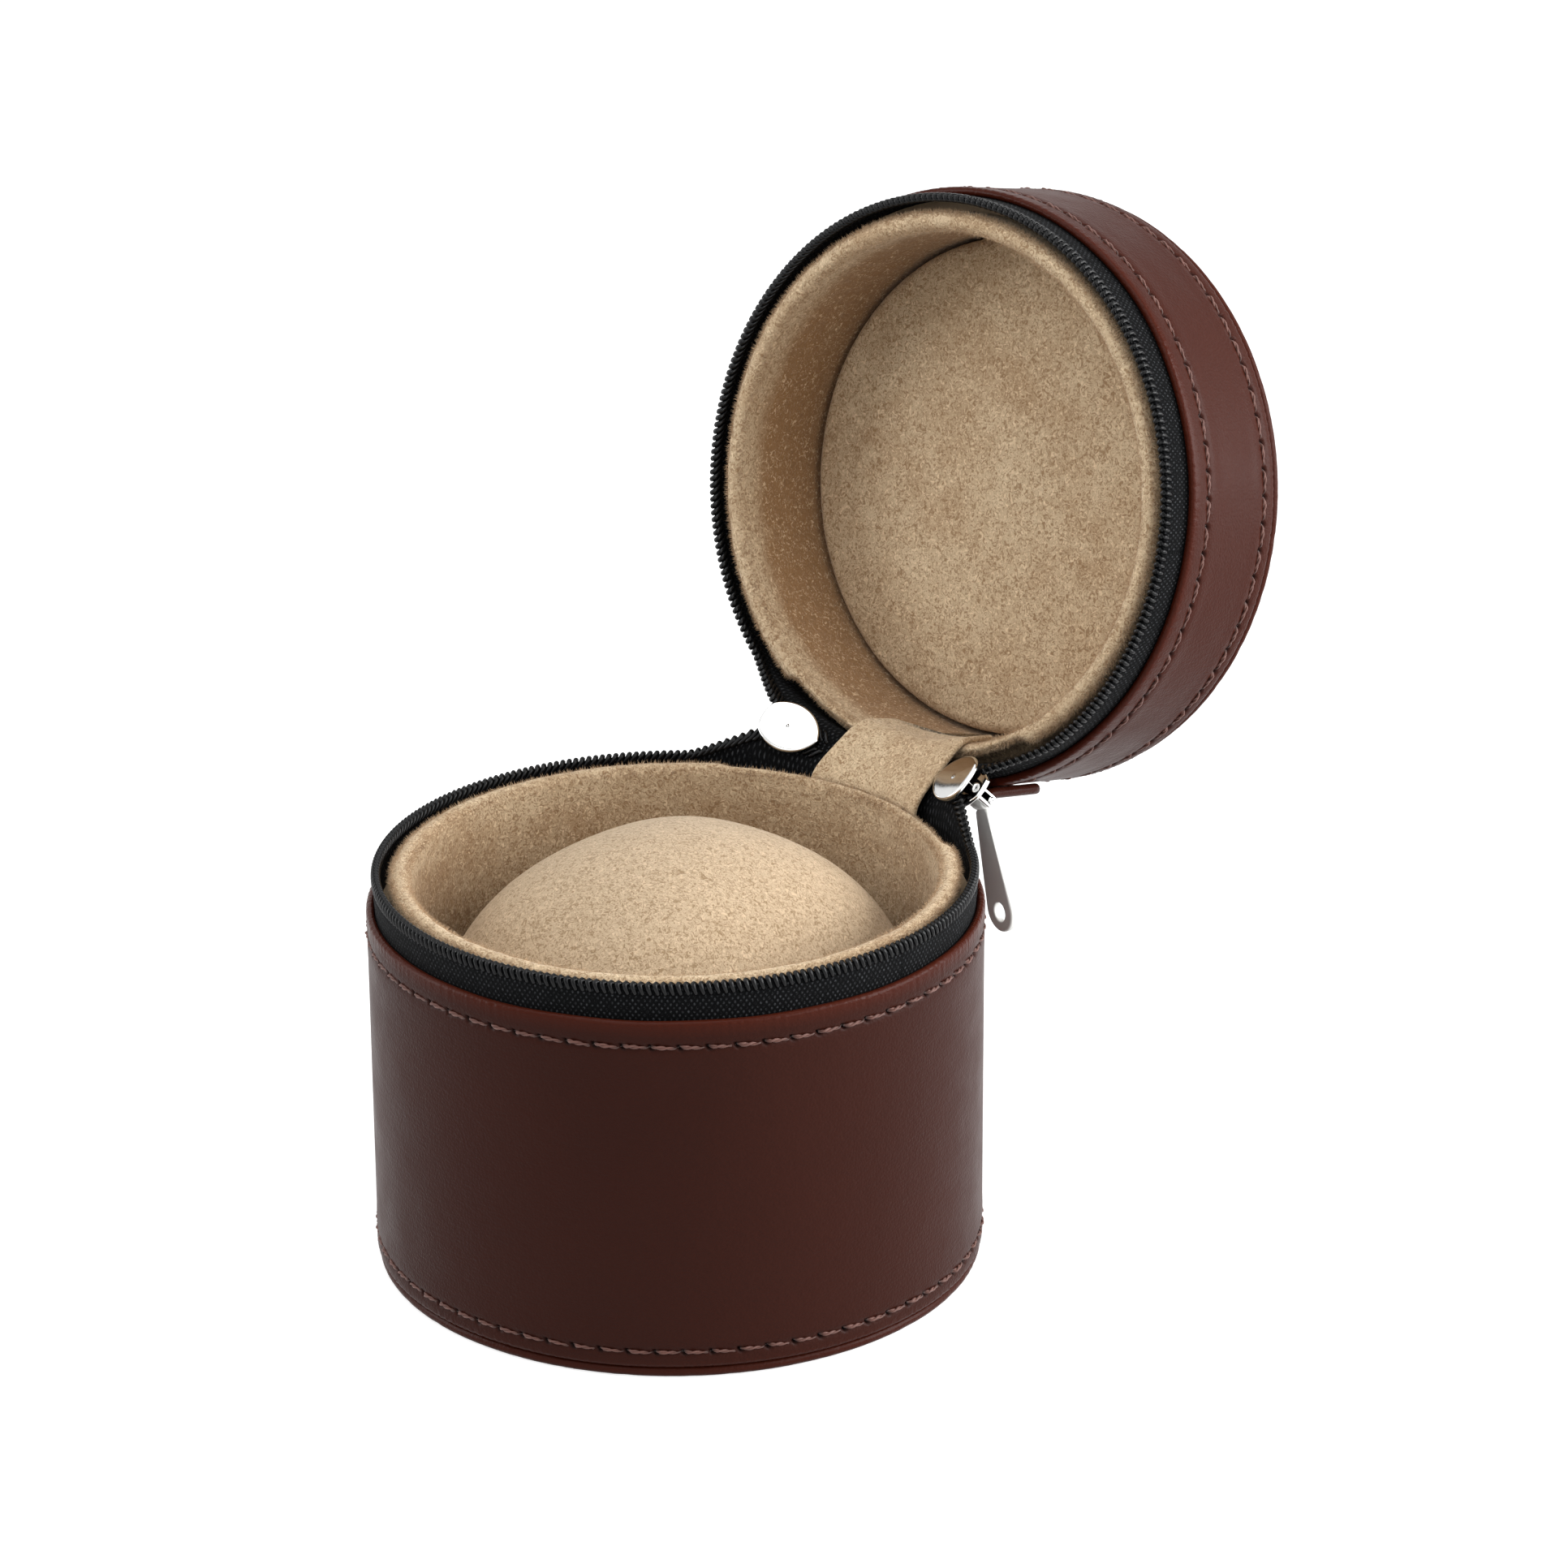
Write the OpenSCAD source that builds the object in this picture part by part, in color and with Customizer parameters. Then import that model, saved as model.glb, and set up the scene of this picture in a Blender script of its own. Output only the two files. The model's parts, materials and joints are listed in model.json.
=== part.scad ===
// Round travel case for one watch, with a two-way zip round its waist.
// A leather-covered drum, a lid that folds back on a soft hinge, a padded suede
// lining and a domed suede cushion that carries the watch.
// The base stands at z = 0, the hinge is at the back (+Y), and the case is drawn
// with its lid open. Lengths are in millimetres, angles in degrees.

/* [Case] */
// Outer diameter of the leather wall
case_d = 100; // [80:1:130]
// Height of the base, from the table to the top edge of its leather
base_h = 61.6; // [52:0.2:90]
// Height of the lid's leather, from its edge to its top face
lid_h = 24.2; // [19:0.2:50]
// Black zip tape and teeth that show on each half, up to the parting plane
zip_show = 6.6; // [6.2:0.1:9]
// How far the lid folds back
open_angle = 103; // [60:1:115]

/* [Walls] */
// Thickness of the wall leather
leather_t = 1.3; // [1:0.1:2]
// Thickness of the leather on the two end faces
end_leather_t = 1.7; // [1.2:0.1:2.2]
// Wall of the stiff tube inside the leather
core_t = 1.8; // [1.2:0.1:3]
// Thickness of the stiff boards under the end faces
board_t = 1.8; // [1.2:0.1:3]
// Thickness of the padded suede wall
lining_t = 3.4; // [2.6:0.1:6]
// How far the padded rim stops below the parting plane
rim_drop = 1.3; // [0.9:0.1:3]
// Thickness of the padded floor of the base
floor_t = 5; // [3:0.5:9]
// Thickness of the lid's padded disc
lid_pad_t = 7.5; // [3:0.5:12]
// Gap round the lid's padded disc
pad_gap = 0.7; // [0.3:0.1:2]

/* [Stitching] */
// Stitches in each row
stitch_count = 70; // [30:1:110]
// Thickness of the sewing thread
thread_d = 0.64; // [0.4:0.02:1]
// Distance of the two rows beside the zip from the leather edge
edge_row = 4.3; // [3:0.1:7]
// Distance of the two rows beside the end faces from those faces
end_row = 4.6; // [3:0.1:7]

/* [Zip] */
// Height of the row of teeth on each tape
coil_h = 2.6; // [2:0.1:3.2]
// Thickness of the row of teeth
coil_t = 1.7; // [1.2:0.1:2.2]
// Gap between the two rows when the case is shut, for the slider's web
coil_gap = 0.8; // [0.7:0.1:1.2]
// Thickness of the woven tape
tape_t = 0.6; // [0.4:0.1:0.9]
// Tape hidden under the leather
tape_tuck = 6; // [3:0.5:10]
// How much thinner the padded wall is behind the end of the zip
zip_end_relief = 1.6; // [1.4:0.1:2]
// Height of that thinner stretch, down from the padded rim
zip_end_relief_h = 5; // [4:0.5:10]

/* [Sliders] */
// Length of a slider along the zip
slider_l = 12; // [9:0.5:14]
// Width of a slider's inner plate, across the zip
slider_w = 9; // [7:0.5:11]
// Width of a slider's outer plate, across the zip
outer_plate_w = 7.4; // [5:0.2:8]
// Thickness of the slider's inner plate
inner_plate_t = 0.75; // [0.6:0.05:0.9]
// Thickness of the slider's outer plate
outer_plate_t = 0.9; // [0.7:0.05:1.4]
// Gap between the slider's plates and the teeth
slider_gap = 0.3; // [0.2:0.05:0.5]
// Gap between a parked slider's bridge and the leather tab
park_gap = 0.6; // [0.4:0.1:6]
// Diameter of the bar that carries the pull
bar_d = 1.4; // [1:0.1:2]
// Clearance of the pull's eye on the bar, on the radius
bar_fit = 0.06; // [0.02:0.01:0.1]
// Distance between the two legs of the bridge
bridge_gap = 3.8; // [3:0.1:5]
// Length of the pull, from its bar to its tip
pull_l = 22; // [14:0.5:30]
// Width of the pull at its round end
pull_w = 7.6; // [5:0.2:10]
// Thickness of the pull
pull_t = 1.3; // [0.8:0.1:2]
// Diameter of the hole in the pull
pull_hole_d = 3.2; // [1.5:0.1:4.2]

/* [Hinge] */
// How far the fold line lies inside the leather's outer face
fold_in = 0.4; // [0.2:0.1:1]
// How far the fold line lies below the parting plane
fold_drop = 1.4; // [1:0.1:2]
// How far the tab and the strap sit towards +X from the middle of the fold
hinge_off = 1.5; // [-2:0.1:2]
// Width of the leather tab
tab_w = 34; // [28:1:37]
// Length of the leather tab above the parting plane, and the same below
tab_reach = 20; // [12:0.5:21]
// Thickness of the leather tab
tab_t = 1.8; // [1.2:0.1:2.4]
// Width of the suede strap where it leaves the base
strap_w = 25; // [16:1:25]
// Thickness of the suede strap
strap_t = 1; // [0.7:0.1:1.1]
// Length of the suede strap that lies on the lid's wall
strap_end = 7; // [4:0.5:10]

/* [Cushion] */
// Gap between the cushion's sides and the padded wall, along the fold line
cushion_side_gap = 6.25; // [4.5:0.25:12]
// Gap between the cushion's ends and the padded wall, across the fold line
cushion_end_gap = 3.25; // [2:0.25:12]
// Height of the cushion's crown above the parting plane
crown_rise = 4.6; // [0:0.2:12]
// Height of the crown above the cushion's widest place
cushion_crown = 32.3; // [24:0.1:36]
// Thickness of the cushion's cover
cover_t = 1.2; // [0.8:0.1:2]

/* [Hidden] */
$fn = 96;

// Gap between curved faces of one body that lie on each other
seat = 0.05;
// Gap between soft faces of different bodies
soft_gap = 0.3;

// Radii, from the outside in
case_r = case_d / 2;
band_in_r = case_r - leather_t;
tape_out_r = band_in_r - seat;
tape_in_r = tape_out_r - tape_t;
core_out_r = tape_in_r - seat;
core_in_r = core_out_r - core_t;
lining_out_r = core_in_r - seat;
bore_r = lining_out_r - lining_t;
tape_r = (tape_out_r + tape_in_r) / 2;
coil_out_r = tape_r + coil_t / 2;
coil_in_r = tape_r - coil_t / 2;
inner_plate_r = coil_in_r - slider_gap;
outer_plate_r = coil_out_r + slider_gap;
plate_face_r = outer_plate_r + outer_plate_t;
board_r = lining_out_r;
end_r = case_r - 0.3;

// Heights of the shut case
part_z = base_h + zip_show;
shut_h = part_z + zip_show + lid_h;
floor_z = end_leather_t + board_t + floor_t;
coil_top_z = part_z - coil_gap / 2;
tape_top_z = coil_top_z - coil_h;
core_top_z = base_h - 1.1;
rim_top_z = part_z - rim_drop;
ledge_z = rim_top_z - zip_end_relief_h;
thin_wall = lining_t - zip_end_relief;
fold_y = case_r - fold_in;
fold_z = part_z - fold_drop;
half_angle = open_angle / 2;

// The thread lies in a groove and stands a little proud of the leather
groove_d = thread_d * 0.75;
thread_r = case_r - groove_d + thread_d / 2 + seat / 2;

// The bar of each pull stands this far from the case's axis
leg_t = 1;
leg_round = 1.1;
bar_r = plate_face_r + 2.6;

// The tab's two edges, as angles round the rim from +X, and the sliders parked by them
tab_in_r = thread_r + thread_d / 2 + 2 * seat;
tab_from = acos((hinge_off + tab_w / 2) / case_r);
tab_to = acos((hinge_off - tab_w / 2) / case_r);
park_step = asin((bridge_gap / 2 + leg_t + park_gap) / case_r);
park_right = tab_from - park_step;
park_left = tab_to + park_step;

// The zip's end reaches just past the two parked sliders: its two ends along the fold
slider_half_angle = asin(slider_l / 2 / coil_in_r);
zip_end_x = [plate_face_r * cos(park_left + slider_half_angle) - soft_gap,
             plate_face_r * cos(park_right - slider_half_angle) + soft_gap];

// ---- poses ------------------------------------------------------------

// A point of the shut case, folded back about the hinge line by an angle
function folded(p, a) = [
    p[0],
    fold_y + (p[1] - fold_y) * cos(a) + (p[2] - fold_z) * sin(a),
    fold_z - (p[1] - fold_y) * sin(a) + (p[2] - fold_z) * cos(a)
];

// The same fold for a whole piece
module fold_back(a) {
    translate([0, fold_y, fold_z])
        rotate([-a, 0, 0])
            translate([0, -fold_y, -fold_z])
                children();
}

// A piece of the lid, drawn as the mirror of a piece of the base
module on_lid() {
    fold_back(open_angle)
        translate([0, 0, 2 * part_z])
            mirror([0, 0, 1])
                children();
}

// ---- round walls --------------------------------------------------------

module ring(in_r, out_r, low, high) {
    translate([0, 0, low])
        difference() {
            cylinder(r = out_r, h = high - low);
            translate([0, 0, -1])
                cylinder(r = in_r, h = high - low + 2);
        }
}

// A leather wall from one end panel to its turned edge, with a groove for each row
module leather_wall(low, high) {
    turn = leather_t / 2;
    difference() {
        rotate_extrude() {
            translate([band_in_r, low + 0.5])
                square([leather_t, high - low - 0.5 - turn]);
            translate([band_in_r, low])
                square([leather_t - 0.5, 1]);
            translate([case_r - 0.5, low + 0.5])
                circle(r = 0.5);
            translate([case_r - turn, high - turn])
                circle(r = turn);
        }
        for (z = [low - seat - end_leather_t + end_row, high - edge_row])
            ring(case_r - groove_d, case_r + 1, z - groove_d, z + groove_d);
    }
}

// A round end face with its lower edge eased
module end_panel() {
    ease = 0.6;
    rotate_extrude() {
        square([end_r - ease, end_leather_t]);
        translate([0, ease])
            square([end_r, end_leather_t - ease]);
        translate([end_r - ease, ease])
            circle(r = ease);
    }
}

// One row of stitches, each a short straight length of thread in the groove
module stitch_row(z) {
    pitch = 360 / stitch_count;
    length = 2 * PI * case_r / stitch_count * 0.78;
    for (i = [0 : stitch_count - 1])
        rotate([0, 0, i * pitch])
            translate([thread_r, 0, z])
                rotate([94, 0, 0])
                    cylinder(d = thread_d, h = length, center = true, $fn = 16);
}

// A padded wall with a full-round rim
module full_round_wall(low, high, wall) {
    half = wall / 2;
    rotate_extrude() {
        translate([bore_r, low])
            square([wall, high - low - half]);
        translate([bore_r + half, high - half])
            circle(r = half);
    }
}

// The padded wall of a half, thinner towards its rim where the parked sliders turn
module padded_wall(low) {
    difference() {
        full_round_wall(low, rim_top_z, lining_t);
        zip_end_slab(soft_gap, ledge_z);
    }
    intersection() {
        full_round_wall(ledge_z, rim_top_z, thin_wall);
        zip_end_slab(soft_gap, ledge_z);
    }
}

// A padded disc with a full-round edge on its face
module padded_disc(r, low, high) {
    soft = min(1.8, (high - low) / 2);
    rotate_extrude() {
        translate([0, low])
            square([r - soft, high - low]);
        translate([0, low])
            square([r, high - low - soft]);
        translate([r - soft, high - soft])
            circle(r = soft);
    }
}

// The woven tape, a little lower where the zip's end turns above it
module tape() {
    difference() {
        ring(tape_in_r, tape_out_r, base_h - tape_tuck, tape_top_z);
        zip_end_slab(soft_gap, tape_top_z - soft_gap);
    }
}

// A row of teeth, swept from one angle to another: a band with both its corners rounded
module teeth_band(from = 0, to = 360) {
    round_r = 0.5;
    rotate([0, 0, from])
        rotate_extrude(angle = to - from) {
            translate([coil_in_r, tape_top_z])
                square([coil_t, coil_h - round_r]);
            translate([coil_in_r + round_r, tape_top_z])
                square([coil_t - 2 * round_r, coil_h]);
            for (x = [coil_in_r + round_r, coil_out_r - round_r])
                translate([x, coil_top_z - round_r])
                    circle(r = round_r);
        }
}

// The slab of the case, across the fold line, in which the parked sliders turn
module zip_end_slab(spare, low = 0) {
    translate([zip_end_x[0] - spare, 0, low])
        cube([zip_end_x[1] - zip_end_x[0] + 2 * spare, case_r, 2 * part_z]);
}

// The row of one half opens with that half, so it stops clear of the parked sliders
module teeth() {
    teeth_band(acos((zip_end_x[0] - soft_gap) / coil_in_r),
               360 + acos((zip_end_x[1] + soft_gap) / coil_in_r));
}

// ---- base ---------------------------------------------------------------

module base_leather_band() {
    color("#3c2320") leather_wall(end_leather_t + seat, base_h);
}

module base_bottom_panel() {
    color("#34201d") end_panel();
}

module base_tube_core() {
    color("#b9a88c") ring(core_in_r, core_out_r, end_leather_t, core_top_z);
}

module base_bottom_board() {
    color("#b9a88c")
        translate([0, 0, end_leather_t])
            cylinder(r = board_r, h = board_t);
}

module base_lining() {
    color("#b99a72") padded_wall(end_leather_t + board_t);
}

module base_floor_pad() {
    color("#b2926a") padded_disc(bore_r - seat, end_leather_t + board_t, floor_z);
}

module base_stitch_top() {
    color("#8a5e55") stitch_row(base_h - edge_row);
}

module base_stitch_bottom() {
    color("#8a5e55") stitch_row(end_row);
}

module base_zip_tape() {
    color("#15171a") tape();
}

module base_zip_teeth() {
    color("#0d0e10") teeth();
}

// ---- lid, as the mirror of a base of its own height ----------------------

// Height of the lid's top face in the mirrored drawing, where it is lowest
lid_end_z = 2 * part_z - shut_h;
lid_board_top_z = lid_end_z + end_leather_t + board_t;

module lid_leather_band() {
    color("#3c2320")
        on_lid()
            leather_wall(lid_end_z + end_leather_t + seat, base_h);
}

module lid_top_panel() {
    color("#34201d")
        on_lid()
            translate([0, 0, lid_end_z])
                end_panel();
}

module lid_tube_core() {
    color("#b9a88c")
        on_lid()
            ring(core_in_r, core_out_r, lid_end_z + end_leather_t, core_top_z);
}

module lid_top_board() {
    color("#b9a88c")
        on_lid()
            translate([0, 0, lid_end_z + end_leather_t])
                cylinder(r = board_r, h = board_t);
}

module lid_lining() {
    color("#b99a72")
        on_lid()
            padded_wall(lid_board_top_z);
}

module lid_inner_pad() {
    color("#c0a27a")
        on_lid()
            padded_disc(bore_r - pad_gap, lid_board_top_z, lid_board_top_z + lid_pad_t);
}

module lid_stitch_rim() {
    color("#8a5e55")
        on_lid()
            stitch_row(base_h - edge_row);
}

module lid_stitch_top() {
    color("#8a5e55")
        on_lid()
            stitch_row(lid_end_z + end_row);
}

module lid_zip_tape() {
    color("#15171a") on_lid() tape();
}

module lid_zip_teeth() {
    color("#0d0e10") on_lid() teeth();
}

// ---- soft hinge ------------------------------------------------------------

// A closed sheet with a front grid and a back grid of the same size
module thick_sheet(front, back) {
    rows = len(front);
    cols = len(front[0]);
    n = rows * cols;
    points = concat([for (row = front) for (p = row) p], [for (row = back) for (p = row) p]);
    function at(i, j) = i * cols + j;
    faces = concat(
        [for (i = [0 : rows - 2]) for (j = [0 : cols - 2]) each [
            [at(i, j), at(i + 1, j), at(i + 1, j + 1)],
            [at(i, j), at(i + 1, j + 1), at(i, j + 1)],
            [n + at(i, j), n + at(i + 1, j + 1), n + at(i + 1, j)],
            [n + at(i, j), n + at(i, j + 1), n + at(i + 1, j + 1)]]],
        [for (i = [0 : rows - 2]) each [
            [at(i, 0), n + at(i, 0), n + at(i + 1, 0)],
            [at(i, 0), n + at(i + 1, 0), at(i + 1, 0)],
            [at(i, cols - 1), n + at(i + 1, cols - 1), n + at(i, cols - 1)],
            [at(i, cols - 1), at(i + 1, cols - 1), n + at(i + 1, cols - 1)]]],
        [for (j = [0 : cols - 2]) each [
            [at(0, j), at(0, j + 1), n + at(0, j + 1)],
            [at(0, j), n + at(0, j + 1), n + at(0, j)],
            [at(rows - 1, j), n + at(rows - 1, j + 1), at(rows - 1, j + 1)],
            [at(rows - 1, j), n + at(rows - 1, j), n + at(rows - 1, j + 1)]]]);
    polyhedron(points = points, faces = faces);
}

// Share of the fold that a height of the shut case has taken, smooth from 0 to 1
fold_zone = 4.6;
function smooth(t) = t * t * (3 - 2 * t);
function fold_share(z) = smooth(min(1, max(0, (z - fold_z + fold_zone) / (2 * fold_zone))));

// The tab is drawn on the shut case, then folded back by its share at each height.
// It lies on the stitches and stands off the zip between the two leather edges.
tab_standoff = 0.8;
tab_corner = 4;
tab_cols = 14;
tab_rows = 26;

function corner_cut(d) = d >= tab_corner ? 0
    : tab_corner - sqrt(tab_corner * tab_corner - (tab_corner - d) * (tab_corner - d));
function tab_bulge(z) = tab_standoff * smooth(max(0, 1 - abs(z - part_z) / zip_show));
function tab_point(i, j, lift) =
    let (a = tab_from + (tab_to - tab_from) * j / tab_cols,
         to_side = tab_w / 2 * (1 - abs(2 * j / tab_cols - 1)),
         half = tab_reach - corner_cut(to_side),
         z = part_z + half * (2 * i / tab_rows - 1),
         r = tab_in_r + lift + tab_bulge(z))
    folded([r * cos(a), r * sin(a), z], open_angle * fold_share(z));

module hinge_leather_tab() {
    color("#3a211e")
        thick_sheet([for (i = [0 : tab_rows]) [for (j = [0 : tab_cols]) tab_point(i, j, tab_t)]],
                    [for (i = [0 : tab_rows]) [for (j = [0 : tab_cols]) tab_point(i, j, 0)]]);
}

// The strap stands on the ledge of the base's padded wall, clears its rim, runs taut
// to the lid's rim and lies on the lid's wall. In the open case its path has four
// knots: the root, a turn above the rim, the lid's rim and the end.
strap_skew = 3;
strap_taper = 1.2;
strap_gap = 0.15;
strap_cols = 8;
strap_rows = 24;
strap_base_r = bore_r + thin_wall + strap_gap + strap_t / 2;
strap_lid_r = bore_r - soft_gap - strap_t / 2;
strap_root_z = ledge_z + soft_gap;
strap_turn_z = rim_top_z + 1.2;

// The distance back from the case's middle to a circle, at a place along the fold
function on_circle_y(r, x) = sqrt(r * r - x * x);
function strap_knots(x) = [
    [x, on_circle_y(strap_base_r, x), strap_root_z],
    [x, on_circle_y(strap_base_r, x), strap_turn_z],
    folded([x, on_circle_y(strap_lid_r, x), part_z + rim_drop - soft_gap], open_angle),
    folded([x, on_circle_y(strap_lid_r, x), part_z + rim_drop + strap_end], open_angle)];

// A knot is passed on a parabola that takes this share of the path on each side
strap_bend = 0.28;
function mix(a, b, t) = a * (1 - t) + b * t;
function strap_path(k, t) =
    t < 1 - strap_bend ? mix(k[0], k[1], t)
    : t < 1 + strap_bend ? bend(mix(k[0], k[1], 1 - strap_bend), k[1],
                                mix(k[1], k[2], strap_bend), (t - 1 + strap_bend) / 2 / strap_bend)
    : t < 2 - strap_bend ? mix(k[1], k[2], t - 1)
    : t < 2 + strap_bend ? bend(mix(k[1], k[2], 1 - strap_bend), k[2],
                                mix(k[2], k[3], strap_bend), (t - 2 + strap_bend) / 2 / strap_bend)
    : mix(k[2], k[3], t - 2);
function bend(a, b, c, t) = mix(mix(a, b, t), mix(b, c, t), t);

function strap_point(i, j, side) =
    let (t = 3 * i / strap_rows,
         across = 2 * j / strap_cols - 1,
         x = hinge_off + (strap_w - strap_taper * t) / 2 * across + strap_skew * t / 3,
         k = strap_knots(x),
         ahead = strap_path(k, min(3, t + 0.02)),
         behind = strap_path(k, max(0, t - 0.02)),
         along = (ahead - behind) / norm(ahead - behind),
         p = strap_path(k, t))
    p + side * strap_t / 2 * [0, -along[2], along[1]];

module hinge_suede_strap() {
    color("#c2a57d")
        thick_sheet([for (i = [0 : strap_rows]) [for (j = [0 : strap_cols]) strap_point(i, j, -1)]],
                    [for (i = [0 : strap_rows]) [for (j = [0 : strap_cols]) strap_point(i, j, 1)]]);
}

// The two ends of the zip, each shut inside its parked slider, with the strap between
// them. They turn by half the lid's angle, and the sliders run from them.
strap_x = [hinge_off - strap_w / 2 - 2 * soft_gap,
           hinge_off + strap_w / 2 + strap_skew * 2 / 3];

module zip_end_teeth() {
    color("#0d0e10")
        fold_back(half_angle)
            difference() {
                intersection() {
                    union() {
                        teeth_band();
                        translate([0, 0, 2 * part_z])
                            mirror([0, 0, 1])
                                teeth_band();
                    }
                    zip_end_slab(0);
                }
                translate([strap_x[0], 0, 0])
                    cube([strap_x[1] - strap_x[0], case_r, 2 * part_z]);
            }
}

// Black cloth that joins the two ends of the zip behind the strap
gusset_t = 0.6;
gusset_half_h = 0.6;
end_gap_angle = 0.8;
gusset_from = park_right + slider_half_angle + end_gap_angle;
gusset_to = park_left - slider_half_angle - end_gap_angle;

module zip_end_gusset() {
    color("#1a1c1f")
        fold_back(half_angle)
            rotate([0, 0, gusset_from])
                translate([0, 0, part_z - gusset_half_h])
                    rotate_extrude(angle = gusset_to - gusset_from)
                        translate([outer_plate_r, 0])
                            square([gusset_t, 2 * gusset_half_h]);
}

// ---- sliders and pulls -------------------------------------------------------

// Outline of a slider's plate: two arcs that meet in a point at the tail, with the
// mouth cut round. It is drawn at the rim's +X side, with the tail towards +Y.
module plate_outline(length, width) {
    arc_r = (length * length + width * width) / 4 / width;
    intersection() {
        translate([arc_r - width / 2, 0])
            circle(r = arc_r);
        translate([width / 2 - arc_r, 0])
            circle(r = arc_r);
        translate([0, length * 0.08])
            circle(r = length * 0.42 + length * 0.08);
    }
}

// One plate: part of a thin drum, cut to the outline
module plate(in_r, out_r, length, width) {
    intersection() {
        translate([0, 0, part_z - slider_w])
            ring(in_r, out_r, 0, 2 * slider_w);
        translate([in_r - 3, 0, part_z])
            rotate([0, 90, 0])
                linear_extrude(height = out_r - in_r + 6)
                    plate_outline(length, width);
    }
}

// The web passes between the two rows of teeth and joins the plates
web_l = 5.5;
web_t = coil_gap - 0.3;

module slider_shell() {
    plate(inner_plate_r - inner_plate_t, inner_plate_r, slider_l, slider_w);
    plate(outer_plate_r, plate_face_r, slider_l, outer_plate_w);
    translate([inner_plate_r - inner_plate_t / 2, -web_l / 2, part_z - web_t / 2])
        cube([outer_plate_r - inner_plate_r + inner_plate_t / 2 + outer_plate_t / 2, web_l, web_t]);
}

// Two legs with a round bar between them
module bridge() {
    for (side = [-1, 1]) {
        y = side * (bridge_gap / 2 + leg_t / 2);
        difference() {
            union() {
                translate([bar_r, y, part_z])
                    rotate([90, 0, 0])
                        cylinder(r = leg_round, h = leg_t, center = true);
                translate([plate_face_r - 1, y - leg_t / 2, part_z - leg_round])
                    cube([bar_r - plate_face_r + 1, leg_t, 2 * leg_round]);
            }
            cylinder(r = plate_face_r + seat / 2, h = 3 * part_z);
        }
    }
    translate([bar_r, 0, part_z])
        rotate([90, 0, 0])
            cylinder(d = bar_d, h = bridge_gap + 0.4, center = true);
}

// A pull hangs along -Z from its eye at the origin, its face across X
eye_in_r = bar_d / 2 + bar_fit;
eye_out_r = eye_in_r + 0.7;
eye_l = bridge_gap - 2 * soft_gap;

module pull() {
    round_r = pull_w / 2;
    tip_z = -pull_l + round_r;
    difference() {
        union() {
            rotate([90, 0, 0])
                cylinder(r = eye_out_r, h = eye_l, center = true);
            translate([-pull_t / 2, 0, 0])
                rotate([90, 0, 90])
                    linear_extrude(height = pull_t) {
                        polygon([[-eye_l / 2, -eye_in_r], [eye_l / 2, -eye_in_r],
                                 [round_r * 0.985, tip_z + round_r * 0.17],
                                 [-round_r * 0.985, tip_z + round_r * 0.17]]);
                        translate([0, tip_z])
                            circle(r = round_r);
                    }
        }
        rotate([90, 0, 0])
            cylinder(r = eye_in_r, h = pull_w + 2, center = true);
        translate([0, 0, tip_z - 0.4])
            rotate([0, 90, 0])
                cylinder(d = pull_hole_d, h = pull_t + 2, center = true);
    }
}

// Angle of a hanging pull below its slider's outward direction, in the open case
function hang_angle(park) = atan2(cos(half_angle), sin(half_angle) * sin(park));

module at_slider(park) {
    fold_back(half_angle)
        rotate([0, 0, park])
            children();
}

module hung_pull(park) {
    at_slider(park)
        translate([bar_r, 0, part_z])
            rotate([0, hang_angle(park) - 90, 0])
                pull();
}

module slider_right_body() {
    color("#c9cbce") at_slider(park_right) slider_shell();
}

module slider_right_bridge() {
    color("#c9cbce") at_slider(park_right) bridge();
}

module pull_right() {
    color("#bfc0bb") hung_pull(park_right);
}

module slider_left_body() {
    color("#c9cbce") at_slider(park_left) mirror([0, 1, 0]) slider_shell();
}

module slider_left_bridge() {
    color("#c9cbce") at_slider(park_left) bridge();
}

module pull_left() {
    color("#bfc0bb") hung_pull(park_left);
}

// ---- cushion -------------------------------------------------------------------

// A crowned form on an oblong plan. Above its widest place it is a dome. Below, its
// sides draw in to the flat on which it rests.
plan_power = 2.4;
cushion_cols = 28;
dome_rows = 9;
side_rows = 7;
cushion_w = 2 * (bore_r - cushion_side_gap);
cushion_l = 2 * (bore_r - cushion_end_gap);
waist_z = part_z + crown_rise - cushion_crown;
foot_z = floor_z + seat;
cushion_waist = waist_z - foot_z;
foot_angle = 62;

function arc_power(v, power) = sign(v) * pow(abs(v), 2 / power);

// A ring of the form at an angle above or below the widest place
function cushion_ring(up, inset) =
    let (drop = cushion_waist / sin(foot_angle),
         z = up >= 0 ? waist_z + (cushion_crown - inset) * sin(up)
                     : waist_z + max(sin(up) * drop, inset - cushion_waist),
         share = cos(up))
    [for (j = [0 : cushion_cols - 1])
        let (a = 360 * j / cushion_cols)
        [(cushion_w / 2 - inset) * share * arc_power(cos(a), plan_power),
         (cushion_l / 2 - inset) * share * arc_power(sin(a), plan_power), z]];

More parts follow.
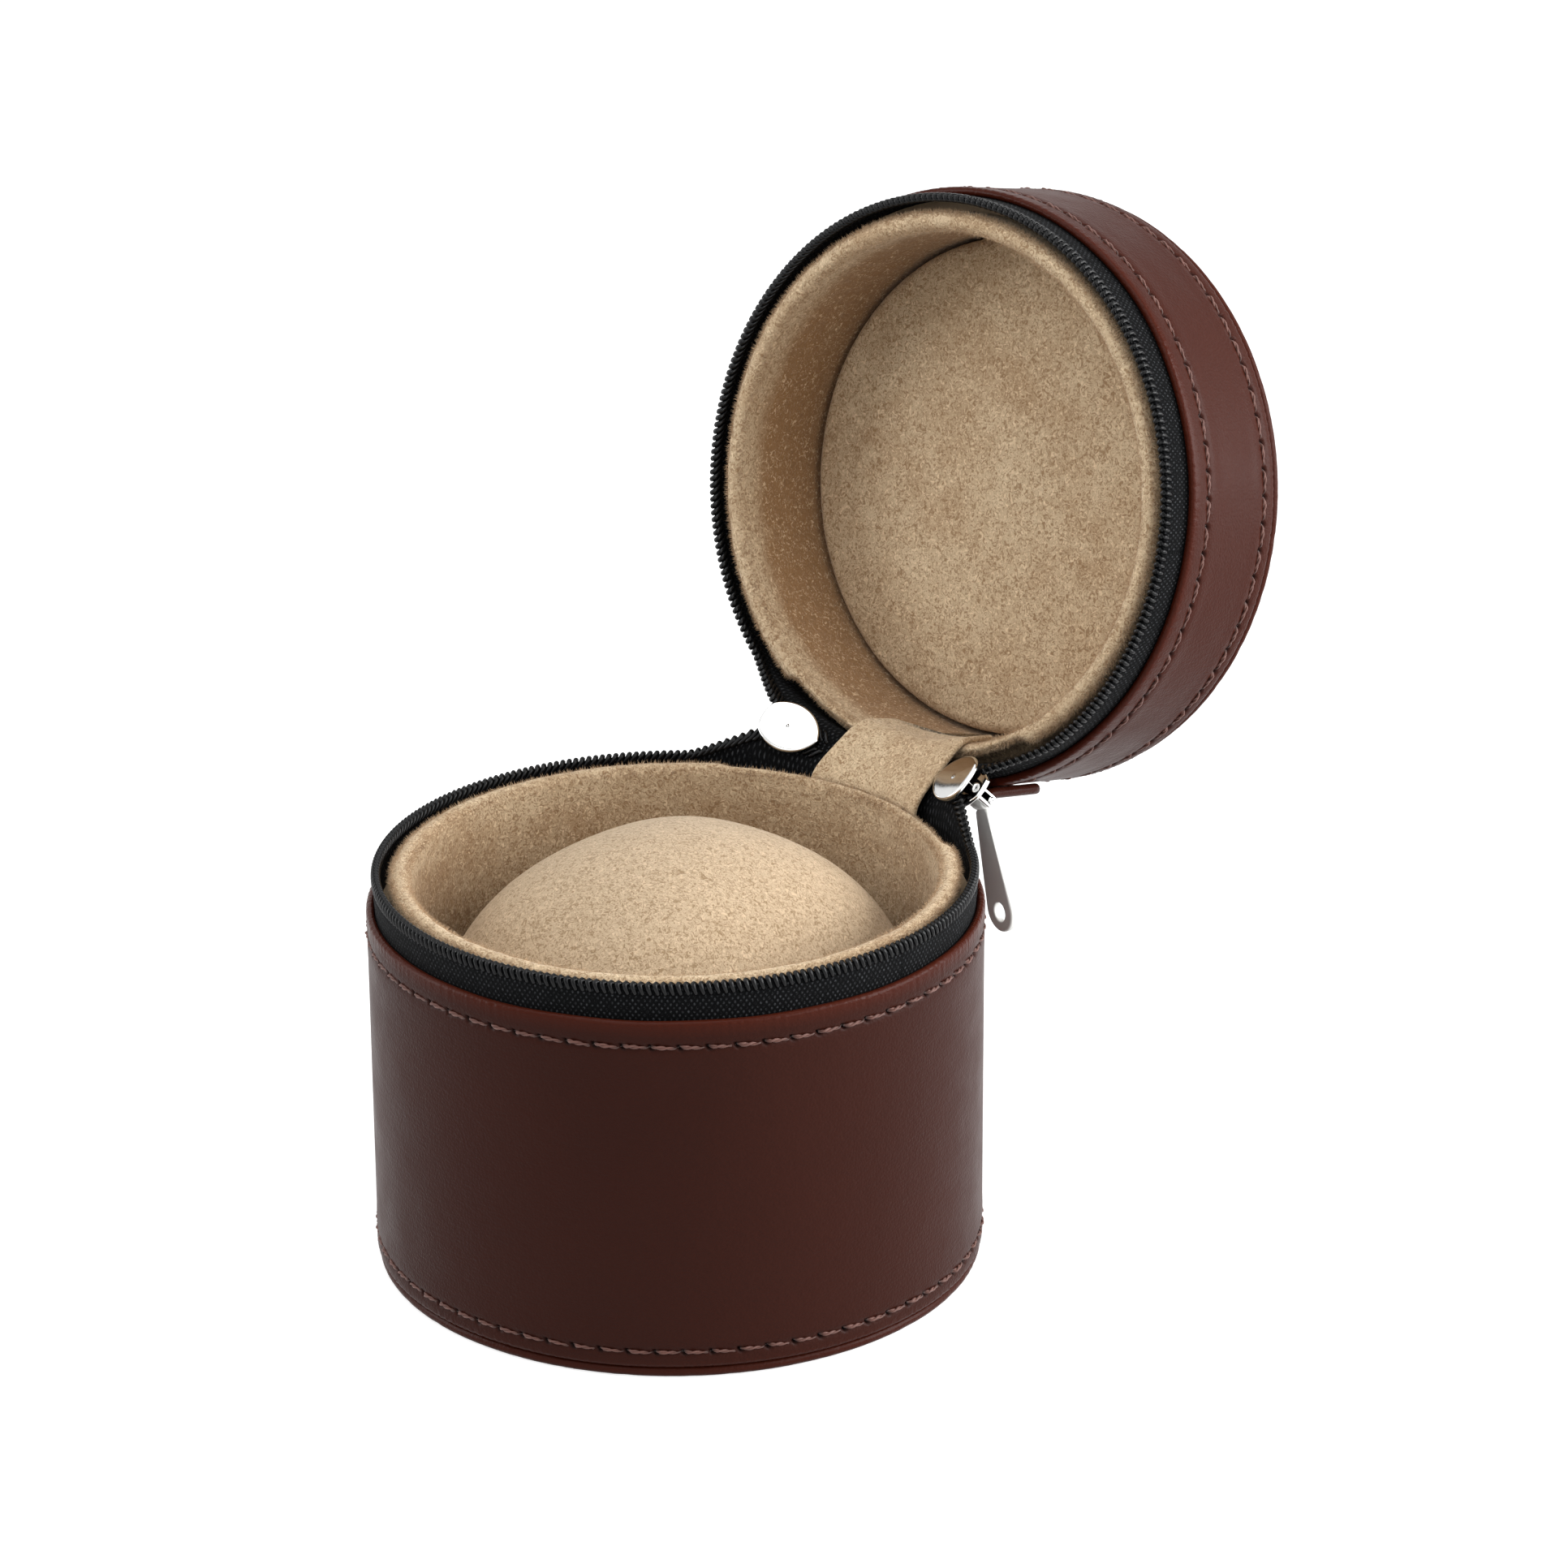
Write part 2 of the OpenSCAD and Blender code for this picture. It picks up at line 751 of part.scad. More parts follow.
module cushion_form(inset) {
    rings = concat(
        [for (i = [0 : side_rows - 1]) cushion_ring(-foot_angle * (1 - i / side_rows), inset)],
        [for (i = [0 : dome_rows - 1]) cushion_ring(90 * i / dome_rows, inset)]);
    count = len(rings);
    cols = cushion_cols;
    points = concat([for (r = rings) for (p = r) p],
                    [[0, 0, foot_z + inset], [0, 0, waist_z + cushion_crown - inset]]);
    foot = count * cols;
    crown = foot + 1;
    faces = concat(
        [for (i = [0 : count - 2]) for (j = [0 : cols - 1]) let (k = (j + 1) % cols) each [
            [i * cols + j, (i + 1) * cols + j, (i + 1) * cols + k],
            [i * cols + j, (i + 1) * cols + k, i * cols + k]]],
        [for (j = [0 : cols - 1]) [foot, j, (j + 1) % cols]],
        [for (j = [0 : cols - 1])
            [crown, (count - 1) * cols + (j + 1) % cols, (count - 1) * cols + j]]);
    polyhedron(points = points, faces = faces);
}

module cushion_cover() {
    color("#cdb28b")
        difference() {
            cushion_form(0);
            cushion_form(cover_t);
        }
}

module cushion_core() {
    color("#e6e0cf") cushion_form(cover_t + seat);
}

// ---- the pieces ------------------------------------------------------------------

base_leather_band();
base_bottom_panel();
base_tube_core();
base_bottom_board();
base_lining();
base_floor_pad();
base_stitch_top();
base_stitch_bottom();
base_zip_tape();
base_zip_teeth();
lid_leather_band();
lid_top_panel();
lid_tube_core();
lid_top_board();
lid_lining();
lid_inner_pad();
lid_stitch_rim();
lid_stitch_top();
lid_zip_tape();
lid_zip_teeth();
hinge_leather_tab();
hinge_suede_strap();
zip_end_teeth();
zip_end_gusset();
slider_right_body();
slider_right_bridge();
pull_right();
slider_left_body();
slider_left_bridge();
pull_left();
cushion_cover();
cushion_core();
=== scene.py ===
"""Round leather travel case for one watch, open on a white table.

Nearly every shape is a surface worked out on a grid of two parameters. The suede's
hairs are spikes, and the hidden parts keep the frame's own meshes. The lid is worked
out as the mirror of a base, in the drawing of the shut case, and then folded back
about the hinge line. Lengths are in metres, angles in radians unless named degrees.
"""
import json
import math

import bpy
import numpy as np
from bpy.props import FloatProperty, FloatVectorProperty, IntProperty, PointerProperty
from mathutils import Matrix, Vector


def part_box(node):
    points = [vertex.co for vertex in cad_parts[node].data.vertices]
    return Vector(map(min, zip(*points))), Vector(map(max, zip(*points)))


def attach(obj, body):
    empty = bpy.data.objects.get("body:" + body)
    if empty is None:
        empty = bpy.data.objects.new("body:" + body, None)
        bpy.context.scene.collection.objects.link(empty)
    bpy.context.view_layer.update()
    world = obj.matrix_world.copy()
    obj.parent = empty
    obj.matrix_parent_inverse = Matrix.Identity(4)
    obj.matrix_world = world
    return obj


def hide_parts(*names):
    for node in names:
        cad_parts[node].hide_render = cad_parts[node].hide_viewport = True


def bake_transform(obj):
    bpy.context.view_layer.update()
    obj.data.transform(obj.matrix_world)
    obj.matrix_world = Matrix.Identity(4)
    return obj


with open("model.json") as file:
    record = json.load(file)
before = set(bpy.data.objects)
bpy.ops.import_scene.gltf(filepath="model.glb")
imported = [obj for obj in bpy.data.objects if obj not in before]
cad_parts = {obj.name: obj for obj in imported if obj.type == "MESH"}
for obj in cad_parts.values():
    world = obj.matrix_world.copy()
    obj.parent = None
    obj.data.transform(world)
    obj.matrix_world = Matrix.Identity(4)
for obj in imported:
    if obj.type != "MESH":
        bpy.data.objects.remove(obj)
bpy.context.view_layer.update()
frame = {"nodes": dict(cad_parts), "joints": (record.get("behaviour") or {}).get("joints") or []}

bl_info = {
    "name": "Watch travel case",
    "version": (1, 0, 0),
    "blender": (4, 5, 0),
    "location": "3D View > Sidebar > Travel Case",
    "description": "Builds a zip-around leather travel case for one watch",
    "category": "Add Mesh",
}

MM = 0.001
TURN = 2 * math.pi


# ---- what the frame says -----------------------------------------------------

def joint_named(name):
    return next(j for j in frame["joints"] if j["name"] == name)


def points_of(piece):
    """All corners of a piece or a CAD node, as rows of x, y, z."""
    points = np.empty(len(piece.data.vertices) * 3, np.float32)
    piece.data.vertices.foreach_get("co", points)
    return points.reshape(-1, 3).astype(float)


HINGE = joint_named("lid_hinge")
FOLD_Y, FOLD_Z = HINGE["pos_m"][1:]
OPEN = math.radians(HINGE["range_deg"][1])
HALF_OPEN = OPEN / 2


def folded(points, angle):
    """Points of the shut case turned back about the hinge line, each by its own angle."""
    y, z = points[..., 1] - FOLD_Y, points[..., 2] - FOLD_Z
    c, s = np.cos(angle), np.sin(angle)
    return np.stack([points[..., 0] + 0 * c, FOLD_Y + y * c + z * s, FOLD_Z - y * s + z * c], -1)


TEETH_LOW, TEETH_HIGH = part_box("base_zip_teeth")
TEETH_GAP = 0.8 * MM
PART_Z = TEETH_HIGH.z + TEETH_GAP / 2
TEETH_Z = (TEETH_LOW.z + TEETH_HIGH.z) / 2


def mirrored(points):
    """Points of a base drawing, mirrored in the parting plane."""
    return points * [1, 1, -1] + [0, 0, 2 * PART_Z]


def lid_range(name):
    """Lowest and highest z of a lid node, in the drawing in which the lid is a mirrored base."""
    z = mirrored(folded(points_of(frame["nodes"][name]), -OPEN))[:, 2]
    return z.min(), z.max()


BAND_LOW, BAND_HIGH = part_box("base_leather_band")
CASE_R = BAND_HIGH.x
RIM_Z = BAND_HIGH.z
LEATHER = 1.3 * MM
LINING_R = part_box("base_lining")[1].x
LINING_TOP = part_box("base_lining")[1].z
LINING_WALL = 3.4 * MM
BORE_R = LINING_R - LINING_WALL
TAPE_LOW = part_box("base_zip_tape")[0]
TAPE_T = 0.6 * MM
TAPE_UP = 1.5 * MM
COIL_R = TEETH_HIGH.x - 0.85 * MM
END_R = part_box("base_bottom_panel")[1].x
END_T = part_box("base_bottom_panel")[1].z


# ---- sizes and colours that a user would change ------------------------------

def length(label, text, default):
    return FloatProperty(name=label, description=text, default=default, unit="LENGTH", precision=5)


def colour(label, text, default):
    return FloatVectorProperty(name=label, description=text, default=default, size=4,
                               subtype="COLOR", min=0, max=1)


class CaseSizes(bpy.types.PropertyGroup):
    stitches: IntProperty(name="Stitches", description="Stitches in each row round the case",
                          default=70, min=20)
    strand: length("Strand", "Radius of one of the thread's two strands", 0.175 * MM)
    coil_pitch: length("Coil pitch", "Distance between two loops of the zip", 1.166 * MM)
    coil_wire: length("Coil wire", "Radius of the zip's nylon wire", 0.41 * MM)
    nap_length: length("Nap length", "Length of the suede's hairs at its edges", 1.0 * MM)
    nap_hairs: IntProperty(name="Nap hairs", description="Hairs along each padded rim",
                           default=20000, min=0)
    cushion_swell: length("Cushion swell", "How far a point of the cushion may move as it fills",
                          1.6 * MM)


class CaseColours(bpy.types.PropertyGroup):
    leather: colour("Leather", "Smooth brown leather", (0.030, 0.0072, 0.0042, 1))
    leather_edge: colour("Turned edge", "Leather where it is turned over", (0.052, 0.0098, 0.0046, 1))
    suede: colour("Suede", "Suede of the padded walls", (0.61, 0.475, 0.315, 1))
    # This colour is the suede's darker patches and is also painted as shade, deep inside the walls and in the
    # hollows between tufts.
    suede_deep_and_shade: colour("Suede, brushed", "Suede where the pile lies the other way",
                       (0.31, 0.175, 0.08, 1))
    cushion: colour("Cushion", "Fine suede of the cushion", (0.52, 0.395, 0.265, 1))
    # This colour is the cushion's darker patches and is also painted as shade in the hollows between its
    # tufts.
    cushion_deep_and_shade: colour("Cushion, hollows", "Between the tufts of the fine suede",
                         (0.36, 0.24, 0.13, 1))
    thread: colour("Thread", "Sewing thread", (0.125, 0.050, 0.037, 1))
    zip_black: colour("Zip", "Nylon teeth", (0.0022, 0.0024, 0.0028, 1))
    tape_black: colour("Tape", "Woven tape", (0.0018, 0.002, 0.0024, 1))
    metal: colour("Metal", "Polished plated metal", (0.78, 0.78, 0.77, 1))
    satin: colour("Satin metal", "Brushed metal of the pulls", (0.93, 0.93, 0.90, 1))
    floor: colour("Floor", "Table and backdrop", (0.5, 0.5, 0.5, 1))


def sizes():
    return bpy.context.scene.watch_case_sizes


def colours():
    return bpy.context.scene.watch_case_colours


# ---- meshes from grids -------------------------------------------------------

def grid_quads(rows, cols, ring_rows=False, ring_cols=False):
    """Four-cornered faces of a grid of points stored row by row. A ring's last line joins its first."""
    i = np.arange(rows if ring_rows else rows - 1)
    j = np.arange(cols if ring_cols else cols - 1)
    i, j = (a.ravel() for a in np.meshgrid(i, j, indexing="ij"))
    below, beside = (i + 1) % rows, (j + 1) % cols
    return np.stack([i * cols + j, below * cols + j, below * cols + beside, i * cols + beside], -1)


def signed_volume(points, faces):
    """Volume inside closed faces: positive where they point outwards. Sum of corner tetrahedra."""
    a = points[faces[:, 0]]
    fans = [np.einsum("ij,ij->i", a, np.cross(points[faces[:, k]], points[faces[:, k + 1]])).sum()
            for k in range(1, faces.shape[1] - 1)]
    return sum(fans) / 6


def make_piece(name, points, face_sets, uv=None, attributes=None, flat=False):
    """An object at the origin with these faces, all reversed if their signed volume is negative."""
    points = np.asarray(points, float).reshape(-1, 3)
    if sum(signed_volume(points, f) for f in face_sets) < 0:
        face_sets = [f[:, ::-1] for f in face_sets]
    corners = np.concatenate([f.ravel() for f in face_sets])
    counts = np.concatenate([np.full(len(f), f.shape[1]) for f in face_sets])
    mesh = bpy.data.meshes.new(name)
    mesh.vertices.add(len(points))
    mesh.vertices.foreach_set("co", points.astype(np.float32).ravel())
    mesh.loops.add(len(corners))
    mesh.loops.foreach_set("vertex_index", corners.astype(np.int32))
    mesh.polygons.add(len(counts))
    mesh.polygons.foreach_set("loop_start", (np.cumsum(counts) - counts).astype(np.int32))
    mesh.update(calc_edges=True)
    mesh.polygons.foreach_set("use_smooth", np.full(len(counts), not flat))
    if uv is not None:
        layer = mesh.uv_layers.new(name="UVMap")
        layer.data.foreach_set("uv", np.asarray(uv, float).reshape(-1, 2)[corners]
                               .astype(np.float32).ravel())
    for key, values in (attributes or {}).items():
        layer = mesh.attributes.new(key, "FLOAT", "POINT")
        layer.data.foreach_set("value", np.asarray(values).astype(np.float32).ravel())
    mesh.update()
    piece = bpy.data.objects.new(name, mesh)
    bpy.context.scene.collection.objects.link(piece)
    return piece


def dress(piece, material, body=None, replaces=()):
    """Gives a piece its material, its body and the CAD nodes that it stands for."""
    piece.data.materials.clear()
    piece.data.materials.append(material)
    if body:
        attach(piece, body)
    if replaces:
        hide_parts(*replaces)


def soften(piece, levels):
    """Rounds a piece with a subdivision surface."""
    rounder = piece.modifiers.new("Rounded", "SUBSURF")
    rounder.levels = levels
    rounder.render_levels = levels


def around(r, angle, z):
    """Points at a radius, an angle from +X and a height."""
    return np.stack([r * np.cos(angle), r * np.sin(angle), z + 0 * angle], -1)


def full_circle(count):
    """Evenly spaced angles of a whole turn."""
    return np.arange(count) * TURN / count


def swept(profile, cols):
    """A profile of (radius, height) rows carried round: radii, heights and angles of the grid."""
    angle = full_circle(cols)
    r, z = profile[:, :1] + 0 * angle, profile[:, 1:] + 0 * angle
    return r, z, angle[None] + 0 * r


def pole_fans(rows, cols, other_way=False):
    """Triangles from a grid's first and last row to two poles, whose points follow the grid's.
    They run round as the grid's own faces do, or the other way."""
    here = np.arange(cols)
    beside = (here + 1) % cols
    last = (rows - 1) * cols
    pole = here * 0 + rows * cols
    fans = np.concatenate([np.stack([here, beside, pole], -1),
                           np.stack([last + beside, last + here, pole + 1], -1)])
    return fans[:, [1, 0, 2]] if other_way else fans


def squared_off(wave, power):
    """A cosine or sine raised to a power with its sign kept, as a superellipse needs."""
    return np.sign(wave) * np.abs(wave) ** power


def smooth_step(t):
    t = np.clip(t, 0, 1)
    return t * t * (3 - 2 * t)


def waves(angle, height, seed, turns, spread, count=14):
    """Gentle unevenness round a wall: a sum of cosine waves with random turns and tilts."""
    rng = np.random.default_rng(seed)
    total = 0
    for _ in range(count):
        whole_turns = rng.integers(turns[0], turns[1] + 1)
        tilt = rng.normal() * spread
        total = total + np.cos(whole_turns * angle + tilt * height + rng.random() * TURN)
    return total / math.sqrt(count)


def bump_at(x, width):
    """A bell curve of height 1."""
    return np.exp(-(x / width) ** 2)


def tube(path, radius, sides):
    """Points of round tubes along paths stored as (paths, rings, 3): each ring is a circle
    across the path, set out from the path's own direction and a side direction near +Z."""
    ahead = np.roll(path, -1, 1) - np.roll(path, 1, 1)
    ahead[:, 0] = path[:, 1] - path[:, 0]
    ahead[:, -1] = path[:, -1] - path[:, -2]
    ahead = ahead / np.linalg.norm(ahead, axis=-1, keepdims=True)
    outward = path * [1, 1, 0]
    outward = outward / np.linalg.norm(outward, axis=-1, keepdims=True)
    helper = np.cross(ahead, outward)
    weak = np.linalg.norm(helper, axis=-1, keepdims=True) < 0.3
    helper = np.where(weak, np.cross(ahead, np.cross(outward, [0, 0, 1.0])), helper)
    side = helper / np.linalg.norm(helper, axis=-1, keepdims=True)
    other = np.cross(ahead, side)
    turn = full_circle(sides)[:, None]
    radius = np.broadcast_to(radius, path.shape[:2])[..., None, None]
    return (path[:, :, None] + radius * (np.cos(turn) * side[:, :, None]
                                         + np.sin(turn) * other[:, :, None]))


def tube_faces(paths, rings, sides):
    """Side faces and flat ends of tubes whose points are stored as (paths, rings, sides). The
    ends run the other way round than the side faces."""
    one = grid_quads(rings, sides, ring_cols=True)
    starts = (np.arange(paths) * rings * sides)[:, None]
    walls = (one[None] + starts[..., None]).reshape(-1, 4)
    end = np.arange(sides)
    first = end[::-1] + starts
    last = end + (rings - 1) * sides + starts
    return [walls, np.concatenate([first, last])]


# ---- materials ---------------------------------------------------------------

def add(tree, kind, settings=None, **inputs):
    """A new shader node. Each input is a value or another node's output."""
    made = tree.nodes.new("ShaderNode" + kind)
    for key, value in (settings or {}).items():
        setattr(made, key, value)
    for key, value in inputs.items():
        socket = made.inputs[int(key[1:])] if key[0] == "_" else made.inputs[key.replace("_", " ")]
        if isinstance(value, bpy.types.NodeSocket):
            tree.links.new(value, socket)
        else:
            socket.default_value = value
    return made


def out(made, name=None):
    return made.outputs[name] if name else made.outputs[0]


def new_material(name, **shader):
    """A material with one Principled shader, whose named sockets take constants."""
    material = bpy.data.materials.new(name)
    material.use_nodes = True
    tree = material.node_tree
    principled = tree.nodes["Principled BSDF"]
    for key, value in shader.items():
        principled.inputs[key.replace("_", " ")].default_value = value
    return material, tree, principled


def place(tree, stretch=(1, 1, 1), turn=(0, 0, 0)):
    """Object coordinates, stretched and turned."""
    start = add(tree, "TexCoord")
    return out(add(tree, "Mapping", Vector=out(start, "Object"), Scale=stretch, Rotation=turn))


def noise(tree, where, scale, detail, roughness=0.55, distortion=0.0):
    return out(add(tree, "TexNoise", Vector=where, Scale=scale, Detail=detail,
                   Roughness=roughness, Distortion=distortion))


def ramp(tree, factor, *stops):
    """Maps a factor through stops of (position, colour or grey)."""
    made = add(tree, "ValToRGB", Fac=factor)
    elements = made.color_ramp.elements
    while len(elements) < len(stops):
        elements.new(0.5)
    for element, (position, value) in zip(elements, stops):
        element.position = position
        element.color = value if hasattr(value, "__len__") else (value, value, value, 1)
    return out(made)


def blended(tree, factor, a, b):
    """Mixes two colours."""
    made = add(tree, "Mix", {"data_type": "RGBA"}, _0=factor)
    for socket, value in ((made.inputs[6], a), (made.inputs[7], b)):
        if isinstance(value, bpy.types.NodeSocket):
            tree.links.new(value, socket)
        else:
            socket.default_value = value
    return made.outputs[2]


def sums(tree, operation, a, b):
    return out(add(tree, "Math", {"operation": operation}, _0=a, _1=b))


def attribute(tree, name):
    return out(add(tree, "Attribute", {"attribute_name": name}), "Fac")


def raised(tree, principled, height, distance, strength):
    """Feeds a height into the shader as a bump. Bumps called one after another add up."""
    before = principled.inputs["Normal"].links
    below = {"Normal": before[0].from_socket} if before else {}
    made = add(tree, "Bump", Height=height, Distance=distance, Strength=strength, **below)
    tree.links.new(out(made), principled.inputs["Normal"])


def shade(value, amount):
    """A colour made lighter or darker."""
    return tuple(min(1, c * amount) for c in value[:3]) + (1,)


def leather_material(name, tone_and_painted_light):
    """Smooth calf grain: fine pebbles, faint slanting creases, redder where it is turned over,
    and painted nearly black in the needle holes, as their shade."""
    c = colours()
    material, tree, principled = new_material(name, IOR=1.5, Specular_IOR_Level=0.055,
                                              Coat_Weight=0.04, Coat_Roughness=0.2)
    where = place(tree)
    clouds = noise(tree, where, 38, 4)
    # The brightness factor scales the leather's colour; the lid's factor above 1 is painted light.
    hide = shade(c.leather, tone_and_painted_light)
    body = blended(tree, clouds, shade(hide, 0.86), shade(hide, 1.16))
    fine = noise(tree, where, 900, 3)
    body = blended(tree, sums(tree, "MULTIPLY", fine, 0.35), body, shade(hide, 1.5))
    edge = attribute(tree, "turned")
    body = blended(tree, edge, body, tuple(c.leather_edge))
    # Painted shade: the leather is painted nearly black in the needle holes.
    hole = attribute(tree, "hole")
    body = blended(tree, hole, body, (0.002, 0.001, 0.001, 1))
    tree.links.new(body, principled.inputs["Base Color"])
    rough = ramp(tree, noise(tree, where, 140, 3), (0.3, 0.36), (0.7, 0.46))
    shiny = sums(tree, "MULTIPLY", edge, 0.12)
    rough = sums(tree, "ADD", sums(tree, "SUBTRACT", rough, shiny), sums(tree, "MULTIPLY", hole, 0.4))
    tree.links.new(rough, principled.inputs["Roughness"])
    pebbles = add(tree, "TexVoronoi", {"feature": "SMOOTH_F1"}, Vector=where, Scale=2300,
                  Smoothness=0.6)
    raised(tree, principled, out(pebbles, "Distance"), 0.00007, 0.8)
    creases = noise(tree, place(tree, (420, 420, 1500), (0.5, 0.3, 0)), 1.0, 3, 0.6, 0.4)
    raised(tree, principled, creases, 0.00012, 0.7)
    raised(tree, principled, noise(tree, where, 120, 2), 0.0003, 0.35)
    return material


def suede_material(name, light, deep, tuft=1300, patch=45, contrast=0.75, patchy=1.0):
    """Brushed suede: patches where the pile lies another way, worm-like tufts whose hollows are
    painted darker as shade and whose tips are painted lighter as highlight, and sheen. Where the
    nap attribute is high the deep colour is painted in as shade, as if the pile lay away from the light."""
    material, tree, principled = new_material(name, Roughness=0.92, IOR=1.4,
                                              Sheen_Weight=0.25, Sheen_Roughness=0.5,
                                              Sheen_Tint=(1.0, 0.92, 0.8, 1),
                                              Specular_IOR_Level=0.1)
    where = place(tree)
    patches = ramp(tree, noise(tree, where, patch, 4, 0.62, 0.8), (0.36, 0.0), (0.66, 1.0))
    fine_patches = ramp(tree, noise(tree, where, patch * 4.5, 3, 0.6), (0.38, 0.0), (0.62, 1.0))
    lie = sums(tree, "ADD", sums(tree, "MULTIPLY", patches, 0.34 * patchy),
               sums(tree, "MULTIPLY", fine_patches, 0.2 * patchy))
    # The nap attribute adds painted shade: the deep colour, deep inside the walls.
    lie = out(add(tree, "Math", {"operation": "ADD", "use_clamp": True}, _0=lie,
                  _1=attribute(tree, "nap")))
    body = blended(tree, lie, tuple(light), tuple(deep))
    worms = noise(tree, where, tuft, 2, 0.5, 1.8)
    # A grain of tufts: painted shade in the hollows between them.
    hollow_shade = ramp(tree, worms, (0.36, 1.0), (0.5, 0.0))
    body = blended(tree, sums(tree, "MULTIPLY", hollow_shade, contrast), body, shade(deep, 0.8))
    # Painted highlight: the tufts' tips are painted lighter.
    tips = ramp(tree, worms, (0.56, 0.0), (0.72, 1.0))
    body = blended(tree, sums(tree, "MULTIPLY", tips, 0.75), body, shade(light, 1.4))
    tree.links.new(body, principled.inputs["Base Color"])
    raised(tree, principled, worms, 0.0003, 0.7)
    raised(tree, principled, noise(tree, where, tuft * 0.3, 3), 0.0006, 0.35)
    return material


def hair_material():
    """The suede's own hairs at its edges."""
    c = colours()
    material, tree, principled = new_material("suede_hair", Roughness=0.9, Sheen_Weight=0.3,
                                              Specular_IOR_Level=0.1)
    clumps = noise(tree, place(tree), 300, 2)
    tree.links.new(blended(tree, clumps, shade(c.suede_deep_and_shade, 1.1), shade(c.cushion, 1.25)),
                   principled.inputs["Base Color"])
    return material


def thread_material():
    """Waxed polyester thread with fine filaments, painted dark as shade where it sinks into the
    needle holes, so that it reads lighter where a strand stands up.
    """
    c = colours()
    material, tree, principled = new_material("sewing_thread", Roughness=0.55,
                                              Sheen_Weight=0.1, Specular_IOR_Level=0.4)
    where = place(tree)
    tone_and_painted_light = blended(tree, noise(tree, where, 600, 3), shade(c.thread, 0.62), shade(c.thread, 1.3))
    # Painted shade where the thread sinks into the needle holes.
    tone_and_painted_light = blended(tree, attribute(tree, "sunk_shade"), tone_and_painted_light, shade(c.thread, 0.16))
    tree.links.new(tone_and_painted_light, principled.inputs["Base Color"])
    raised(tree, principled, noise(tree, where, 5200, 2), 0.00005, 0.6)
    return material


def nylon_material():
    """Black nylon wire, with mould streaks and a soft gloss."""
    c = colours()
    material, tree, principled = new_material("zip_nylon", Specular_IOR_Level=0.2)
    where = place(tree)
    tree.links.new(blended(tree, noise(tree, where, 700, 2), shade(c.zip_black, 0.7),
                           shade(c.zip_black, 1.8)), principled.inputs["Base Color"])
    tree.links.new(ramp(tree, noise(tree, where, 1600, 2), (0.3, 0.16), (0.7, 0.28)),
                   principled.inputs["Roughness"])
    raised(tree, principled, noise(tree, where, 2600, 2), 0.00004, 0.4)
    return material


def tape_material():
    """Woven tape in metres of its UV map: slanting rows of short floats with glints."""
    c = colours()
    material, tree, principled = new_material("woven_tape", Roughness=0.75, Sheen_Weight=0.02,
                                              Specular_IOR_Level=0.05)
    start = out(add(tree, "TexCoord"), "UV")
    ribs = []
    for lean in (0.62, -0.62):
        turned = add(tree, "Mapping", Vector=start, Rotation=(0, 0, lean))
        ribs.append(out(add(tree, "TexWave", {"wave_type": "BANDS", "bands_direction": "X",
                                              "wave_profile": "SIN"},
                            Vector=out(turned), Scale=430, Distortion=0.9, Detail=1,
                            Detail_Scale=900), "Fac"))
    weave = sums(tree, "MULTIPLY", ribs[0], ribs[1])
    speckle = noise(tree, start, 1900, 2, 0.7)
    glint = sums(tree, "MULTIPLY", ramp(tree, weave, (0.3, 0.0), (0.75, 1.0)),
                 ramp(tree, speckle, (0.42, 0.0), (0.62, 1.0)))
    tree.links.new(blended(tree, glint, tuple(c.tape_black), (0.07, 0.074, 0.08, 1)),
                   principled.inputs["Base Color"])
    raised(tree, principled, weave, 0.00018, 0.9)
    raised(tree, principled, speckle, 0.00008, 0.5)
    return material


def cloth_material():
    """Brushed black cloth behind the strap."""
    c = colours()
    material, tree, principled = new_material("black_cloth", Roughness=0.95, Sheen_Weight=0.15,
                                              Specular_IOR_Level=0.1)
    fluff = noise(tree, place(tree), 2200, 3, 0.7, 1.0)
    tree.links.new(blended(tree, ramp(tree, fluff, (0.45, 0.0), (0.7, 1.0)),
                           tuple(c.tape_black), (0.03, 0.03, 0.032, 1)),
                   principled.inputs["Base Color"])
    raised(tree, principled, fluff, 0.0003, 0.8)
    return material


def metal_material(name, base, roughness, brushed, metallic=1.0):
    """Plated metal: faint streaks of polish in its roughness."""
    material, tree, principled = new_material(name, Metallic=metallic)
    where = place(tree)
    tree.links.new(blended(tree, noise(tree, where, 260, 2), shade(base, 0.94), tuple(base)),
                   principled.inputs["Base Color"])
    streaks = noise(tree, place(tree, (2500, 2500, 240)), 1.0, 2)
    tree.links.new(ramp(tree, streaks, (0.3, roughness), (0.7, roughness * 1.5)),
                   principled.inputs["Roughness"])
    raised(tree, principled, streaks, 0.00001, brushed)
    return material


def fibre_material(name, base, grain):
    """Pressed board or foam: cells and fibres."""
    material, tree, principled = new_material(name, Roughness=0.9, Specular_IOR_Level=0.1)
    where = place(tree)
    tree.links.new(blended(tree, noise(tree, where, grain, 4), shade(base, 0.75), shade(base, 1.1)),
                   principled.inputs["Base Color"])
    raised(tree, principled, noise(tree, where, grain * 2, 3), 0.0002, 0.5)
    return material


# ---- leather -----------------------------------------------------------------

LOOPS_PER_STITCH = 14
STITCH_BELOW_RIM = 4.3 * MM
STITCH_ABOVE_END = 4.6 * MM
THREAD_LEAN = 0.16 * MM


def hole_shape(angle, z, row_z, stitches):
    """0 to 1 in the needle holes of a row: slanting ellipses, one at each stitch's start."""
    pitch = TURN / stitches
    off = (np.mod(angle / pitch + 0.5, 1) - 0.5) * pitch * CASE_R
    up = z - row_z
    across = off * 0.80 + up * 0.60
    along = -off * 0.60 + up * 0.80
    return bump_at(across, 0.30 * MM) * bump_at(along, 0.52 * MM), off, up


